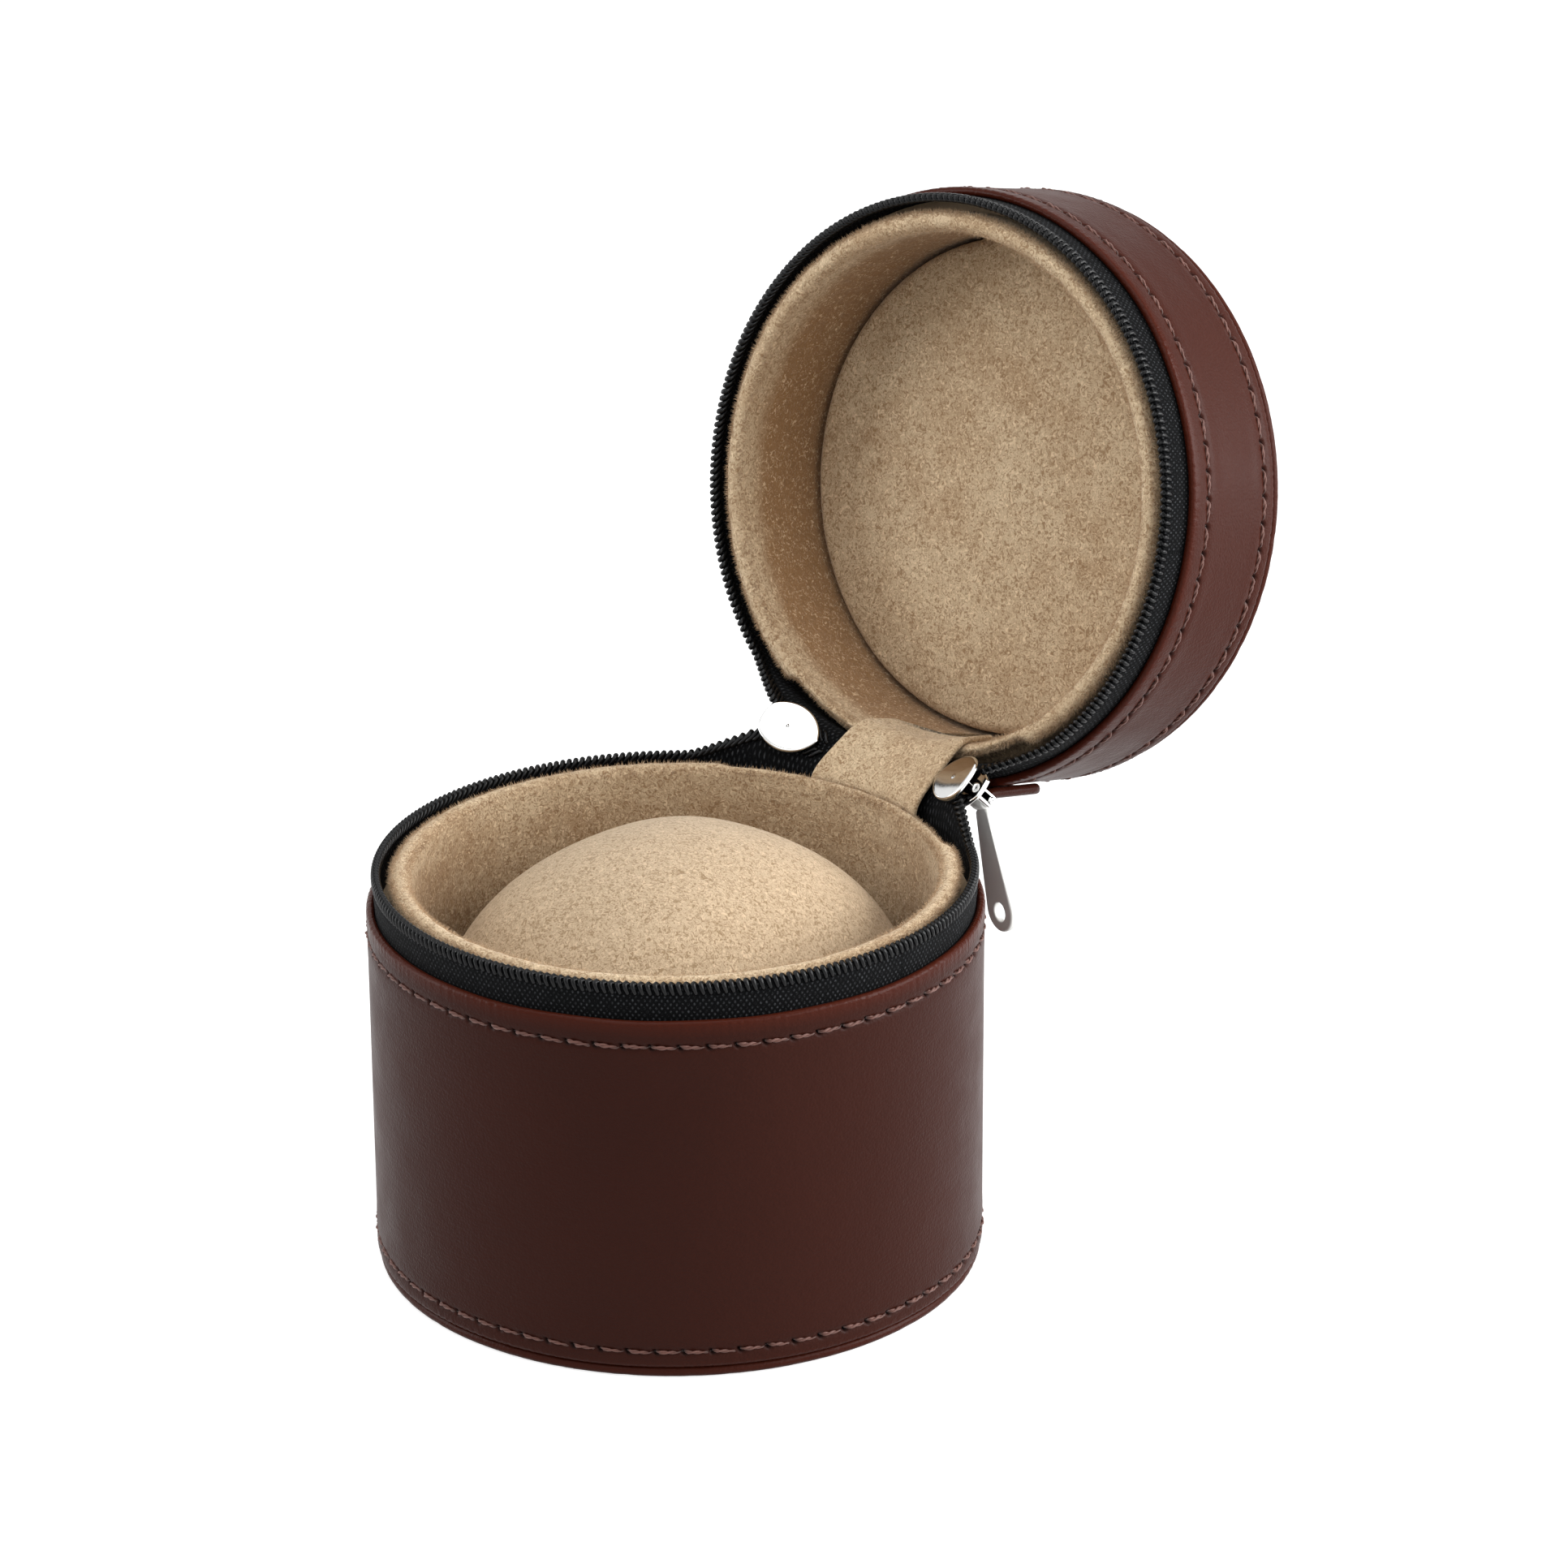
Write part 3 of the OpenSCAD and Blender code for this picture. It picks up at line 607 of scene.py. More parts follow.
def leather_profile(low, high, rows):
    """The outline of a leather wall as (radius, height) rows, from its eased low corner up the
    outer face, over the turned edge and down inside. Rows crowd beside the stitch rows."""
    corner = 0.9 * MM
    bend = LEATHER / 2
    arc = np.linspace(-math.pi / 2, 0, 8)
    foot = np.stack([CASE_R - corner + corner * np.cos(arc), low + corner + corner * np.sin(arc)], -1)
    plain = np.linspace(low + corner, high - bend, 30)[1:]
    crowded = np.concatenate([row + np.linspace(-1.3, 1.3, 15) * MM for row in rows])
    heights = np.unique(np.round(np.concatenate([plain, crowded]), 6))
    heights = heights[(heights > low + corner) & (heights <= high - bend)]
    heights = heights[np.concatenate([[True], np.diff(heights) > 0.06 * MM])]
    wall = np.stack([np.full(len(heights), CASE_R), heights], -1)
    arc = np.linspace(0, math.pi, 13)[1:]
    turn = np.stack([CASE_R - bend + bend * np.cos(arc), high - bend + bend * np.sin(arc)], -1)
    inside = np.array([[CASE_R - LEATHER, high - 3 * MM], [CASE_R - LEATHER, low]])
    return np.concatenate([foot, wall, turn, inside])


def leather_wall(low, high, rows, seed):
    """Points, faces and shading of a leather wall: the profile swept round, drawn in along the
    stitch rows and at each needle hole, plumped beside them and creased at both edges."""
    stitches = sizes().stitches
    profile = leather_profile(low, high, rows)
    r, z, a = swept(profile, stitches * LOOPS_PER_STITCH)
    outer = smooth_step((r - (CASE_R - LEATHER * 0.9)) / (LEATHER * 0.8))
    push = 0.05 * MM * waves(a, z, seed, (2, 9), 40)
    hole = 0
    groove, needle_hole, lip_height, plump = 0.2 * MM, 0.75 * MM, 0.10 * MM, 0.07 * MM
    for row in rows:
        deep, off, up = hole_shape(a, z, row, stitches)
        hole = np.maximum(hole, deep)
        lip = bump_at(off + 0.45 * MM, 0.35 * MM) * bump_at(up + 0.35 * MM, 0.3 * MM)
        push = push - groove * bump_at(up, 0.55 * MM) - needle_hole * deep + lip_height * lip
        push = push + plump * bump_at(np.abs(up) - 1.7 * MM, 0.9 * MM)
    pucker = waves(a, z, seed + 1, (110, 260), 900, 20) + 0.6 * waves(a, z, seed + 2, (300, 520), 1500)
    top_edge = smooth_step((z - (high - 1.9 * MM)) / (1.2 * MM))
    foot_edge = smooth_step((low + 1.4 * MM - z) / (1.0 * MM))
    push = push + 0.035 * MM * pucker * (top_edge + 1.2 * foot_edge)
    push = push + 0.10 * MM * bump_at(z - (high - 1.3 * MM), 0.9 * MM)
    wobble = 0.05 * MM * waves(a, z, seed + 3, (3, 16), 10) * top_edge
    points = around(r + push * outer, a, z + wobble)
    turned = np.clip(top_edge + 0.5 * foot_edge, 0, 1)
    faces = grid_quads(*r.shape, ring_rows=True, ring_cols=True)
    # The hole mask is painted shade: the leather material paints it nearly black.
    return points, faces, {"turned": turned, "hole": np.clip(hole * 1.6, 0, 1) * outer}


def end_panel(low, seed):
    """A round leather end: a disc with a rolled rim that is faintly creased, closed at its back."""
    bead = END_T / 2
    flat = np.linspace(0.002, END_R - bead - 1.4 * MM, 24)
    face = np.stack([flat, low + 0.12 * MM * smooth_step(flat / (END_R * 0.92)) ** 6 * -1
                     + 0.15 * MM], -1)
    dip = np.array([[END_R - bead - 0.7 * MM, low + 0.12 * MM], [END_R - bead, low]])
    arc = np.linspace(-math.pi / 2, math.pi / 2, 14)[1:]
    rim = np.stack([END_R - bead + bead * np.cos(arc), low + bead + bead * np.sin(arc)], -1)
    back = np.array([[END_R - 4 * MM, low + END_T], [0.002, low + END_T]])
    profile = np.concatenate([face, dip, rim, back])
    cols = 420
    r, z, a = swept(profile, cols)
    near_rim = smooth_step((r - (END_R - 2.2 * MM)) / (1.5 * MM))
    r = r - 0.05 * MM * near_rim * np.abs(waves(a, z, seed, (90, 240), 900, 16))
    points = around(r, a, z).reshape(-1, 3)
    poles = np.array([[0, 0, face[0, 1]], [0, 0, low + END_T]])
    shine = np.concatenate([(near_rim * 0.6).ravel(), [0, 0]])
    faces = [grid_quads(len(profile), cols, ring_cols=True), pole_fans(len(profile), cols)]
    return np.concatenate([points, poles]), faces, {"turned": shine}


def to_lid(points):
    """Points of a base drawing, mirrored and folded back as the open lid."""
    return folded(mirrored(np.asarray(points)), OPEN)


def stitch_points(row_z, seed):
    """One row of stitches. Each is two strands twisted round a line that climbs out of one needle
    hole, lies in the groove and dives into the next."""
    size = sizes()
    rng = np.random.default_rng(seed)
    count, rings, sides = size.stitches, 15, 6
    t = np.linspace(0, 1, rings)
    start = np.arange(count)[:, None]
    rise = (smooth_step(t / 0.13) - smooth_step((t - 0.80) / 0.2)) * 0.62 * MM
    lie = CASE_R - 0.62 * MM + rise - 0.16 * MM * smooth_step((t - 0.25) / 0.5)
    lie = lie + rng.normal(0, 0.03 * MM, (count, 1))
    angle = (start + 0.03 + 0.94 * t) * TURN / count
    lean = THREAD_LEAN * (1 + 0.35 * rng.normal(size=(count, 1)))
    z = row_z + lean * (2 * t - 1) * -1 + 0.04 * MM * rng.normal(size=(count, 1))
    drawn_in = 1.12 - 0.35 * smooth_step((t - 0.35) / 0.5)
    thick = size.strand * drawn_in * (1 + 0.07 * rng.normal(size=(count, 1)))
    phase = rng.random((count, 1)) * TURN + 1.35 * TURN * t
    strands = []
    for half_turn in (0, math.pi):
        r = lie + 0.8 * thick * np.cos(phase + half_turn)
        up = z + 0.8 * thick * np.sin(phase + half_turn)
        strands.append(around(r, angle, up))
    path = np.concatenate(strands)
    thick = np.concatenate([thick, thick])
    # Painted shade: the thread is painted dark where it climbs out of a hole and where it dives into the
    # next.
    in_hole = smooth_step((0.10 - t) / 0.1) + smooth_step((t - 0.62) / 0.36)
    sunk_shade = np.clip(np.repeat(np.tile(in_hole, (2 * count, 1)), sides, axis=1), 0, 1)
    return tube(path, thick, sides), tube_faces(2 * count, rings, sides), {"sunk_shade": sunk_shade}


# ---- padded suede walls ------------------------------------------------------

def zip_end_range():
    """The stretch across the fold, behind the strap and the parked sliders, as (low, high) x."""
    low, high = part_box("zip_end_teeth")
    return low.x, high.x


def wall_thickness(angle):
    """The padded wall is thinner towards its rim where the parked sliders turn."""
    low_x, high_x = zip_end_range()
    thin, beyond, ease = 1.8 * MM, 1.0 * MM, 2.5 * MM
    x = LINING_R * np.cos(angle)
    back = np.sin(angle) > 0
    past_low = smooth_step((x - low_x + beyond) / ease)
    before_high = smooth_step((high_x + beyond - x) / ease)
    return LINING_WALL - (LINING_WALL - thin) * (past_low * before_high) * back


def padded_wall(low, seed):
    """A suede wall: up its inner face, over a full-round rim and down outside, closed below.
    It is thinner towards its rim behind the parked sliders, and gently uneven all round."""
    cols = 720
    angle = full_circle(cols)
    relief = 5.2 * MM
    heights = np.linspace(low, LINING_TOP - LINING_WALL / 2, 44)
    inner = np.stack([heights * 0, heights, heights * 0], -1)
    arc = np.linspace(math.pi, 0, 19)[1:-1]
    rim = np.stack([0.5 + 0.5 * np.cos(arc), heights[-1] + 0 * arc, np.sin(arc)], -1)
    down = np.linspace(heights[-1], LINING_TOP - relief - 1.5 * MM, 9)
    outer = np.stack([down * 0 + 1, down, down * 0], -1)
    foot = np.array([[1, low, 0]])
    share, z, lift = np.concatenate([inner, rim, outer, foot]).T[..., None]
    wall = LINING_WALL - (LINING_WALL - wall_thickness(angle)) * smooth_step(
        (z - (LINING_TOP - relief)) / (1.0 * MM))
    a = angle[None] + 0 * share
    r = BORE_R + share * wall
    z = z + lift * LINING_WALL / 2
    plump = 0.10 * MM * waves(a, z, seed, (3, 14), 90) + 0.035 * MM * waves(a, z, seed + 1, (30, 160), 700)
    inside = 1 - share
    r = r - plump * inside + 0.06 * MM * waves(a, z, seed + 2, (20, 90), 500) * share * (lift > 0)
    z = z + 0.05 * MM * waves(a, z * 0, seed + 3, (8, 60), 0) * lift
    # nap is painted shade: the suede is painted darker down its inner face, away from the rim.
    nap = smooth_step((LINING_TOP - 2.2 * MM - z) / (6 * MM)) * smooth_step(inside * 2)
    return around(r, a, z), grid_quads(*r.shape, ring_rows=True, ring_cols=True), nap


def padded_disc(radius, low, high, seed, crown, cols=300):
    """A padded disc: a crowned face, a round edge and a flat back."""
    soft = min(2.2 * MM, (high - low) / 2)
    flat = np.linspace(1.5 * MM, radius - soft, 46)
    dome = crown * (1 - (flat / (radius - soft)) ** 4)
    face = np.stack([flat, high - crown + dome], -1)
    arc = np.linspace(math.pi / 2, 0, 12)[1:]
    edge = np.stack([radius - soft + soft * np.cos(arc), high - crown - soft + soft * np.sin(arc)], -1)
    back = np.array([[radius, low], [1.5 * MM, low]])
    profile = np.concatenate([face, edge, back])
    r, z, a = swept(profile, cols)
    on_face = smooth_step((z - (high - crown - soft)) / soft)
    z = z - on_face * (0.09 * MM * np.abs(waves(a, r, seed, (1, 5), 160, 10)))
    r = r - 0.05 * MM * np.abs(waves(a, z, seed + 1, (20, 90), 300)) * smooth_step((r - radius + soft) / soft)
    points = around(r, a, z).reshape(-1, 3)
    poles = np.array([[0, 0, high - 0.02 * MM], [0, 0, low]])
    faces = [grid_quads(len(profile), cols, ring_cols=True), pole_fans(len(profile), cols)]
    return np.concatenate([points, poles]), faces


def hairs(roots, directions, lengths, seed):
    """Fine hairs: straight three-sided spikes from their roots, each leaning a little off its
    direction by chance."""
    rng = np.random.default_rng(seed)
    count = len(roots)
    way = directions + rng.normal(0, 0.38, (count, 3))
    way = way / np.linalg.norm(way, axis=1, keepdims=True)
    side = np.cross(way, rng.normal(size=(count, 3)))
    side = side / np.linalg.norm(side, axis=1, keepdims=True)
    other = np.cross(way, side)
    thick = 0.05 * MM
    turn = full_circle(3)
    base = (roots - 0.12 * MM * way)[:, None] + thick * (np.cos(turn)[:, None] * side[:, None]
                                                          + np.sin(turn)[:, None] * other[:, None])
    tips = roots + way * lengths[:, None]
    points = np.concatenate([base, tips[:, None]], 1).reshape(-1, 3)
    one = np.array([[0, 1, 3], [1, 2, 3], [2, 0, 3], [0, 2, 1]])
    return points, [(one[None] + 4 * np.arange(count)[:, None, None]).reshape(-1, 3)]


def rim_hairs(seed):
    """Hairs of a padded rim: most on its outer shoulder, the rest on its inner one."""
    size = sizes()
    rng = np.random.default_rng(seed)
    count = size.nap_hairs
    angle = rng.random(count) * TURN
    lean = np.where(rng.random(count) < 0.66, rng.normal(0.55, 0.3, count), rng.normal(2.5, 0.3, count))
    wall = wall_thickness(angle)
    half = LINING_WALL / 2
    middle = BORE_R + wall / 2
    r = middle + wall / 2 * np.cos(lean)
    z = LINING_TOP - half + half * np.sin(lean)
    roots = around(r, angle, z)
    outward = around(np.cos(lean), angle, 0)
    outward[:, 2] = np.sin(lean)
    lengths = size.nap_length * (0.25 + 0.75 * rng.random(count) ** 2)
    return hairs(roots, outward, lengths, seed + 1)


# ---- zip ---------------------------------------------------------------------

def park_angle(joint):
    """Angle round the rim at which a slider is parked: its pull's bar, unfolded to the shut case."""
    bar = folded(np.array(joint_named(joint)["pos_m"]), -HALF_OPEN)
    return math.atan2(bar[1], bar[0])


PARK_RIGHT, PARK_LEFT = park_angle("pull_right_swing"), park_angle("pull_left_swing")
BAR_R = math.hypot(*folded(np.array(joint_named("pull_right_swing")["pos_m"]), -HALF_OPEN)[:2])

# Where the open zip leaves its half and turns towards the parked sliders. A point's share of
# the fold grows along the direction, from 0 at the first distance to 1 at the second.
BASE_COIL_TURN = ((0, 0.8, -0.6), -11.1 * MM, -1.7 * MM)
LID_COIL_TURN = ((0, 0, 1), 64.4 * MM, 80.0 * MM)
BASE_TAPE_TURN = ((0, 0.5878, 0.8090), 74.56 * MM, 92.56 * MM)
LID_TAPE_TURN = ((0, 0.9511, 0.3090), 63.05 * MM, 78.05 * MM)


def fold_share(points, turn):
    """Share of the fold that a point of the open case takes."""
    way, none, whole = turn
    return smooth_step((points @ np.array(way) - none) / (whole - none))


def share_at_slider(shut, turn, low, high):
    """Shares of the fold that agree with where the points of the shut case then lie, found by
    halving, because the further a point turns, the less its place asks for."""
    least, most = np.full(shut.shape[:-1], low), np.full(shut.shape[:-1], high)
    for _ in range(30):
        middle = (least + most) / 2
        asked = fold_share(folded(shut, middle * OPEN), turn)
        least, most = np.where(asked > middle, middle, least), np.where(asked > middle, most, middle)
    return (least + most) / 2


def row_share(row, lid):
    """Share of the fold along one row of teeth."""
    if lid:
        return share_at_slider(row, LID_COIL_TURN, 0.5, 1.0)
    return share_at_slider(row, BASE_COIL_TURN, 0.0, 0.5)


def blend_along(piece, turn):
    """Bakes a piece's transform into its mesh."""
    way, none, whole = turn
    way = Vector(way)
    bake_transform(piece)


def coil_path(from_angle, to_angle, rings=10):
    """The nylon wire of one row: an oval winding round the tape's edge, one loop to a pitch."""
    pitch = sizes().coil_pitch / COIL_R
    loops = int((to_angle - from_angle) / pitch)
    t = np.arange(loops * rings + 1) / rings
    angle = from_angle + t * pitch
    turn = t * TURN
    wide, tall = 0.40 * MM, 0.84 * MM
    oval = 2 / 2.6
    r = COIL_R + wide * squared_off(np.cos(turn), oval)
    z = TEETH_Z + tall * squared_off(np.sin(turn), oval)
    head = smooth_step((np.sin(turn) - 0.3) / 0.6)
    thick = sizes().coil_wire * (0.94 + 0.2 * head)
    return around(r, angle - 0.42 * pitch * np.sin(turn), z - 0.03 * MM * head)[None], thick[None]


def coil(from_angle, to_angle, lid, share=None, sides=8):
    """Points and faces of one row of teeth. The row's path is bent first, then the wire is drawn."""
    path, thick = coil_path(from_angle, to_angle)
    if lid:
        path = mirrored(path)
    path = folded(path, (row_share(path, lid) if share is None else share) * OPEN)
    return tube(path, thick, sides), tube_faces(1, path.shape[1], sides)


def tape(lid):
    """The woven tape: a thin wall with a round upper edge. Between the parked sliders its edge
    rises to the middle of the fold, where the tapes of both halves meet. Its tucked part stays
    with its half and its edge turns with the teeth."""
    cols = 540
    angle = full_circle(cols)
    start, ease = 0.02, 0.14
    between = (smooth_step((angle - PARK_RIGHT - start) / ease)
               * smooth_step((PARK_LEFT - start - angle) / ease))
    edge = TEETH_LOW.z + TAPE_UP + (PART_Z - TEETH_LOW.z - TAPE_UP - 0.1 * MM) * between
    up = np.linspace(0, 1, 26)[:, None]
    low = TAPE_LOW.z
    rise = low + (edge - low) * up
    half = TAPE_T / 2
    arc = np.linspace(0, math.pi, 7)[1:-1, None]
    z = np.concatenate([rise, edge + half * np.sin(arc), rise[::-1]])
    shift = np.concatenate([half + 0 * up, half * np.cos(arc), -half + 0 * up])
    r = COIL_R + shift + 0 * z
    a = angle[None] + 0 * z
    shown = smooth_step((z - RIM_Z) / (1.5 * MM))
    r = r + shown * (0.16 * MM * np.sin(math.pi * np.clip((z - RIM_Z) / (edge - RIM_Z), 0, 1))
                     + 0.05 * MM * waves(a, z * 0, 71 + lid, (4, 22), 0))
    points = around(r, a, z)
    teeth = around(COIL_R, angle, TEETH_Z)
    loose = smooth_step((z - RIM_Z) / (TEETH_LOW.z + 0.5 * MM - RIM_Z))
    if lid:
        points = mirrored(points)
        share = 1 - (1 - row_share(mirrored(teeth), lid)) * loose
    else:
        share = row_share(teeth, lid) * loose
    uv = np.stack([a * COIL_R, z], -1)
    return folded(points, share * OPEN), grid_quads(*z.shape, ring_rows=True, ring_cols=True), uv


# ---- soft hinge --------------------------------------------------------------

def rounded_sheet(middle, normal, thick, rounding=5):
    """A closed sheet about a grid of middle points: front and back half the thickness away, the
    two sides rounded over and the two ends flat. Rows of the result run round the sheet's width."""
    half = thick / 2
    arc = np.linspace(math.pi / 2, -math.pi / 2, rounding + 2)[1:-1]
    out_left = middle[:, :1] - middle[:, 1:2]
    out_right = middle[:, -1:] - middle[:, -2:-1]
    out_left = out_left / np.linalg.norm(out_left, axis=-1, keepdims=True)
    out_right = out_right / np.linalg.norm(out_right, axis=-1, keepdims=True)
    half = half if np.ndim(half) else np.full(middle.shape[0], half)
    half = half[:, None, None]
    c, s = np.cos(arc)[None, :, None], np.sin(arc)[None, :, None]
    right = middle[:, -1:] + half * (c * out_right + s * normal[:, -1:])
    left = middle[:, :1] + half * (c[:, ::-1] * out_left - s * normal[:, :1])
    ring = np.concatenate([middle + half * normal, right, (middle - half * normal)[:, ::-1], left], 1)
    rows, cols = ring.shape[:2]
    points = np.concatenate([ring.reshape(-1, 3), [ring[0].mean(0), ring[-1].mean(0)]])
    return points, [grid_quads(rows, cols, ring_cols=True), pole_fans(rows, cols, other_way=True)]


def grid_normals(middle):
    """Unit normals of a grid of points."""
    across = np.gradient(middle, axis=1)
    along = np.gradient(middle, axis=0)
    normal = np.cross(along, across)
    return normal / np.linalg.norm(normal, axis=-1, keepdims=True)


TAB_W, TAB_REACH, TAB_T, TAB_CORNER = 34 * MM, 20 * MM, 1.8 * MM, 4 * MM
HINGE_OFF = 1.5 * MM
TAB_ZONE = 4.6 * MM
TAB_TURN = ((0, 0.7071, 0.7071), 79.2 * MM, 85.2 * MM)
TAB_INSIDE_R = CASE_R + 0.285 * MM


def tab_middle(rows=90, cols=64):
    """The leather tab's middle surface: a strip of the case's wall with rounded corners, standing
    off the zip, drawn shut and folded back by its share at each height."""
    from_angle = math.acos((HINGE_OFF + TAB_W / 2) / CASE_R)
    to_angle = math.acos((HINGE_OFF - TAB_W / 2) / CASE_R)
    across = np.sin(np.linspace(-math.pi / 2, math.pi / 2, cols))
    along = np.linspace(-1, 1, rows)[:, None]
    near_end = np.clip((np.abs(along) * TAB_REACH - (TAB_REACH - TAB_CORNER)) / TAB_CORNER, 0, 1)
    narrowed = TAB_CORNER * (1 - np.sqrt(1 - near_end ** 2 * 0.999))
    a = (from_angle + to_angle) / 2 + across * ((to_angle - from_angle) / 2 - narrowed / CASE_R)
    z = PART_Z + along * TAB_REACH + 0 * a
    bulge = 0.8 * MM * smooth_step(1 - np.abs(z - PART_Z) / (6.6 * MM))
    r = TAB_INSIDE_R + TAB_T / 2 + bulge
    share = smooth_step((z - FOLD_Z + TAB_ZONE) / (2 * TAB_ZONE))
    return folded(around(r, a, z), share * OPEN)


def leather_tab():
    """The leather tab: a sheet with rounded sides, eased in an arc towards its two ends."""
    middle = tab_middle()
    normal = grid_normals(middle)
    sign = np.sign((normal[0, 0] * middle[0, 0] * [1, 1, 0]).sum())
    normal = normal * sign
    ends = np.clip((1 - np.abs(np.linspace(-1, 1, middle.shape[0]))) * TAB_REACH / (0.9 * MM), 0.05, 1)
    thick = TAB_T * np.sqrt(1 - (1 - ends) ** 2)
    return rounded_sheet(middle, normal, thick)


STRAP_W, STRAP_T, STRAP_SKEW, STRAP_TAPER = 25 * MM, 1 * MM, 3 * MM, 1.2 * MM
STRAP_TURN = ((0, 0.825, 0.565), 75.0 * MM, 86.6 * MM)


def strap_knots(x):
    """The strap's four knots at a place across it: root, turn over the rim, the lid's rim, end."""
    base_y = np.sqrt((BORE_R + 2.45 * MM) ** 2 - x ** 2)
    lid_y = np.sqrt((BORE_R - 0.8 * MM) ** 2 - x ** 2)
    rim = PART_Z + 1.3 * MM
    z = 0 * x
    root = np.stack([x, base_y, z + LINING_TOP - 4.7 * MM], -1)
    turn = np.stack([x, base_y, z + LINING_TOP + 1.2 * MM], -1)
    over = folded(np.stack([x, lid_y, z + rim - 0.3 * MM], -1), OPEN)
    end = folded(np.stack([x, lid_y, z + rim + 7 * MM], -1), OPEN)
    return root, turn, over, end


def part_way(a, b, share):
    """Points at a share of the way from one to another."""
    return a + (b - a) * share[..., None]


def strap_middle(rows=70, cols=40):
    """The strap's middle surface: straight between its knots, each passed on a parabola."""
    bend = 0.28
    t = np.linspace(0, 3, rows)[:, None]
    across = np.sin(np.linspace(-math.pi / 2, math.pi / 2, cols))
    x = HINGE_OFF + (STRAP_W - STRAP_T - STRAP_TAPER * t) / 2 * across + STRAP_SKEW * t / 3
    knots = strap_knots(x)
    t = t + 0 * x
    line = part_way(knots[0], knots[1], t)
    line = np.where((t > 1)[..., None], part_way(knots[1], knots[2], t - 1), line)
    line = np.where((t > 2)[..., None], part_way(knots[2], knots[3], t - 2), line)
    for k in (1, 2):
        s = np.clip((t - k + bend) / 2 / bend, 0, 1)
        before = part_way(knots[k - 1], knots[k], 0 * t + 1 - bend)
        after = part_way(knots[k], knots[k + 1], 0 * t + bend)
        curve = part_way(part_way(before, knots[k], s), part_way(knots[k], after, s), s)
        line = np.where((np.abs(t - k) < bend)[..., None], curve, line)
    return line


def strap():
    """The suede strap: its gently uneven middle surface, and the closed sheet about it."""
    middle = strap_middle()
    normal = grid_normals(middle)
    wave = 0.08 * MM * waves(middle[..., 0] * 90, middle[..., 1], 5, (1, 6), 400)
    middle = middle + normal * wave[..., None]
    return middle, rounded_sheet(middle, normal, STRAP_T)


# ---- sliders and pulls -------------------------------------------------------

SLIDER_L, SLIDER_W, OUTER_W = 12 * MM, 9 * MM, 7.4 * MM
INNER_PLATE = (46.45 * MM, 47.2 * MM)
OUTER_PLATE = (49.5 * MM, 50.4 * MM)


def at_slider(local, park):
    """Points beside the rim's +X side, set round to a parked slider and folded with the zip's end."""
    c, s = math.cos(park), math.sin(park)
    x, y, z = local[..., 0], local[..., 1], local[..., 2]
    return folded(np.stack([x * c - y * s, x * s + y * c, z + PART_Z], -1), HALF_OPEN)


def far_side(way, centre, radius):
    """Distance from the middle to a circle round it, along each direction."""
    along = way @ np.array(centre)
    return along + np.sqrt(radius ** 2 - centre[0] ** 2 - centre[1] ** 2 + along ** 2)


def plate(inner_r, outer_r, plate_l, plate_w, lip, tail, dome=0.0):
    """One plate of a slider, bent round the rim: a pointed oval with a round mouth. Its rows run
    from the middle of the face towards the teeth, over the rounded edge, to the middle again."""
    cols = 112
    angle = full_circle(cols)
    way = np.stack([np.cos(angle), np.sin(angle)], -1)
    arc_r = (plate_l ** 2 + plate_w ** 2) / 4 / plate_w
    side = arc_r - plate_w / 2
    reach = np.minimum(far_side(way, (0, side), arc_r), far_side(way, (0, -side), arc_r))
    reach = np.minimum(reach, far_side(way, (plate_l * 0.08, 0), plate_l / 2))
    bead = (outer_r - inner_r) / 2
    share = np.linspace(0.06, 1, 12)[:, None]
    arc = np.linspace(0, math.pi, 9)[1:-1, None]
    flat = share * (reach - bead)
    edge = reach - bead + bead * np.sin(arc)
    rho = np.concatenate([flat, edge, flat[::-1]])
    depth = np.concatenate([share * 0 - 1, -np.cos(arc), share * 0 + 1]) * bead
    y, z = rho * way[:, 0] * tail, rho * way[:, 1]
    lipped = lip * smooth_step((np.abs(z) - 3.1 * MM) / (0.6 * MM))
    teeth_side = depth < 0 if lip < 0 else depth > 0
    r = (inner_r + outer_r) / 2 + depth + 0 * y + np.where(teeth_side, lipped, 0)
    r = r + dome * (1 - np.clip(rho / reach, 0, 1) ** 2)
    local = np.stack([r * np.cos(y / r), r * np.sin(y / r), z], -1)
    rows = len(local)
    poles = np.stack([local[0].mean(0), local[-1].mean(0)])
    faces = [grid_quads(rows, cols, ring_cols=True), pole_fans(rows, cols, other_way=True)]
    return np.concatenate([local.reshape(-1, 3), poles]), faces


def bar_between(a, b, radius_x, radius_y, sides=28, rings=9):
    """A bar with domed ends between two points: an oval swept along, drawn in at each end."""
    a, b = np.array(a, float), np.array(b, float)
    ahead = (b - a) / np.linalg.norm(b - a)
    side = np.cross(ahead, [0, 0, 1.0] if abs(ahead[2]) < 0.9 else [1.0, 0, 0])
    side = side / np.linalg.norm(side)
    other = np.cross(ahead, side)
    arc = np.linspace(0.12, math.pi / 2, rings)
    small = min(radius_x, radius_y)
    scale = np.concatenate([np.sin(arc), np.sin(arc)[::-1]])
    step = np.concatenate([a[None] - ahead * (small * np.cos(arc))[:, None] * 0.5,
                           b[None] + ahead * (small * np.cos(arc[::-1]))[:, None] * 0.5])
    turn = full_circle(sides)
    oval = radius_x * np.cos(turn)[:, None] * side + radius_y * np.sin(turn)[:, None] * other
    points = step[:, None] + scale[:, None, None] * oval
    return points.reshape(-1, 3), tube_faces(1, len(step), sides)


def joined(*shells):
    """Several closed shells as one set of points and faces. A shell is reversed if its signed
    volume is negative."""
    points, faces, start = [], [], 0
    for shell, sets in shells:
        shell = shell.reshape(-1, 3)
        turn = sum(signed_volume(shell, f) for f in sets) < 0
        faces += [(f[:, ::-1] if turn else f) + start for f in sets]
        points.append(shell)
        start += len(shell)
    return np.concatenate(points), faces


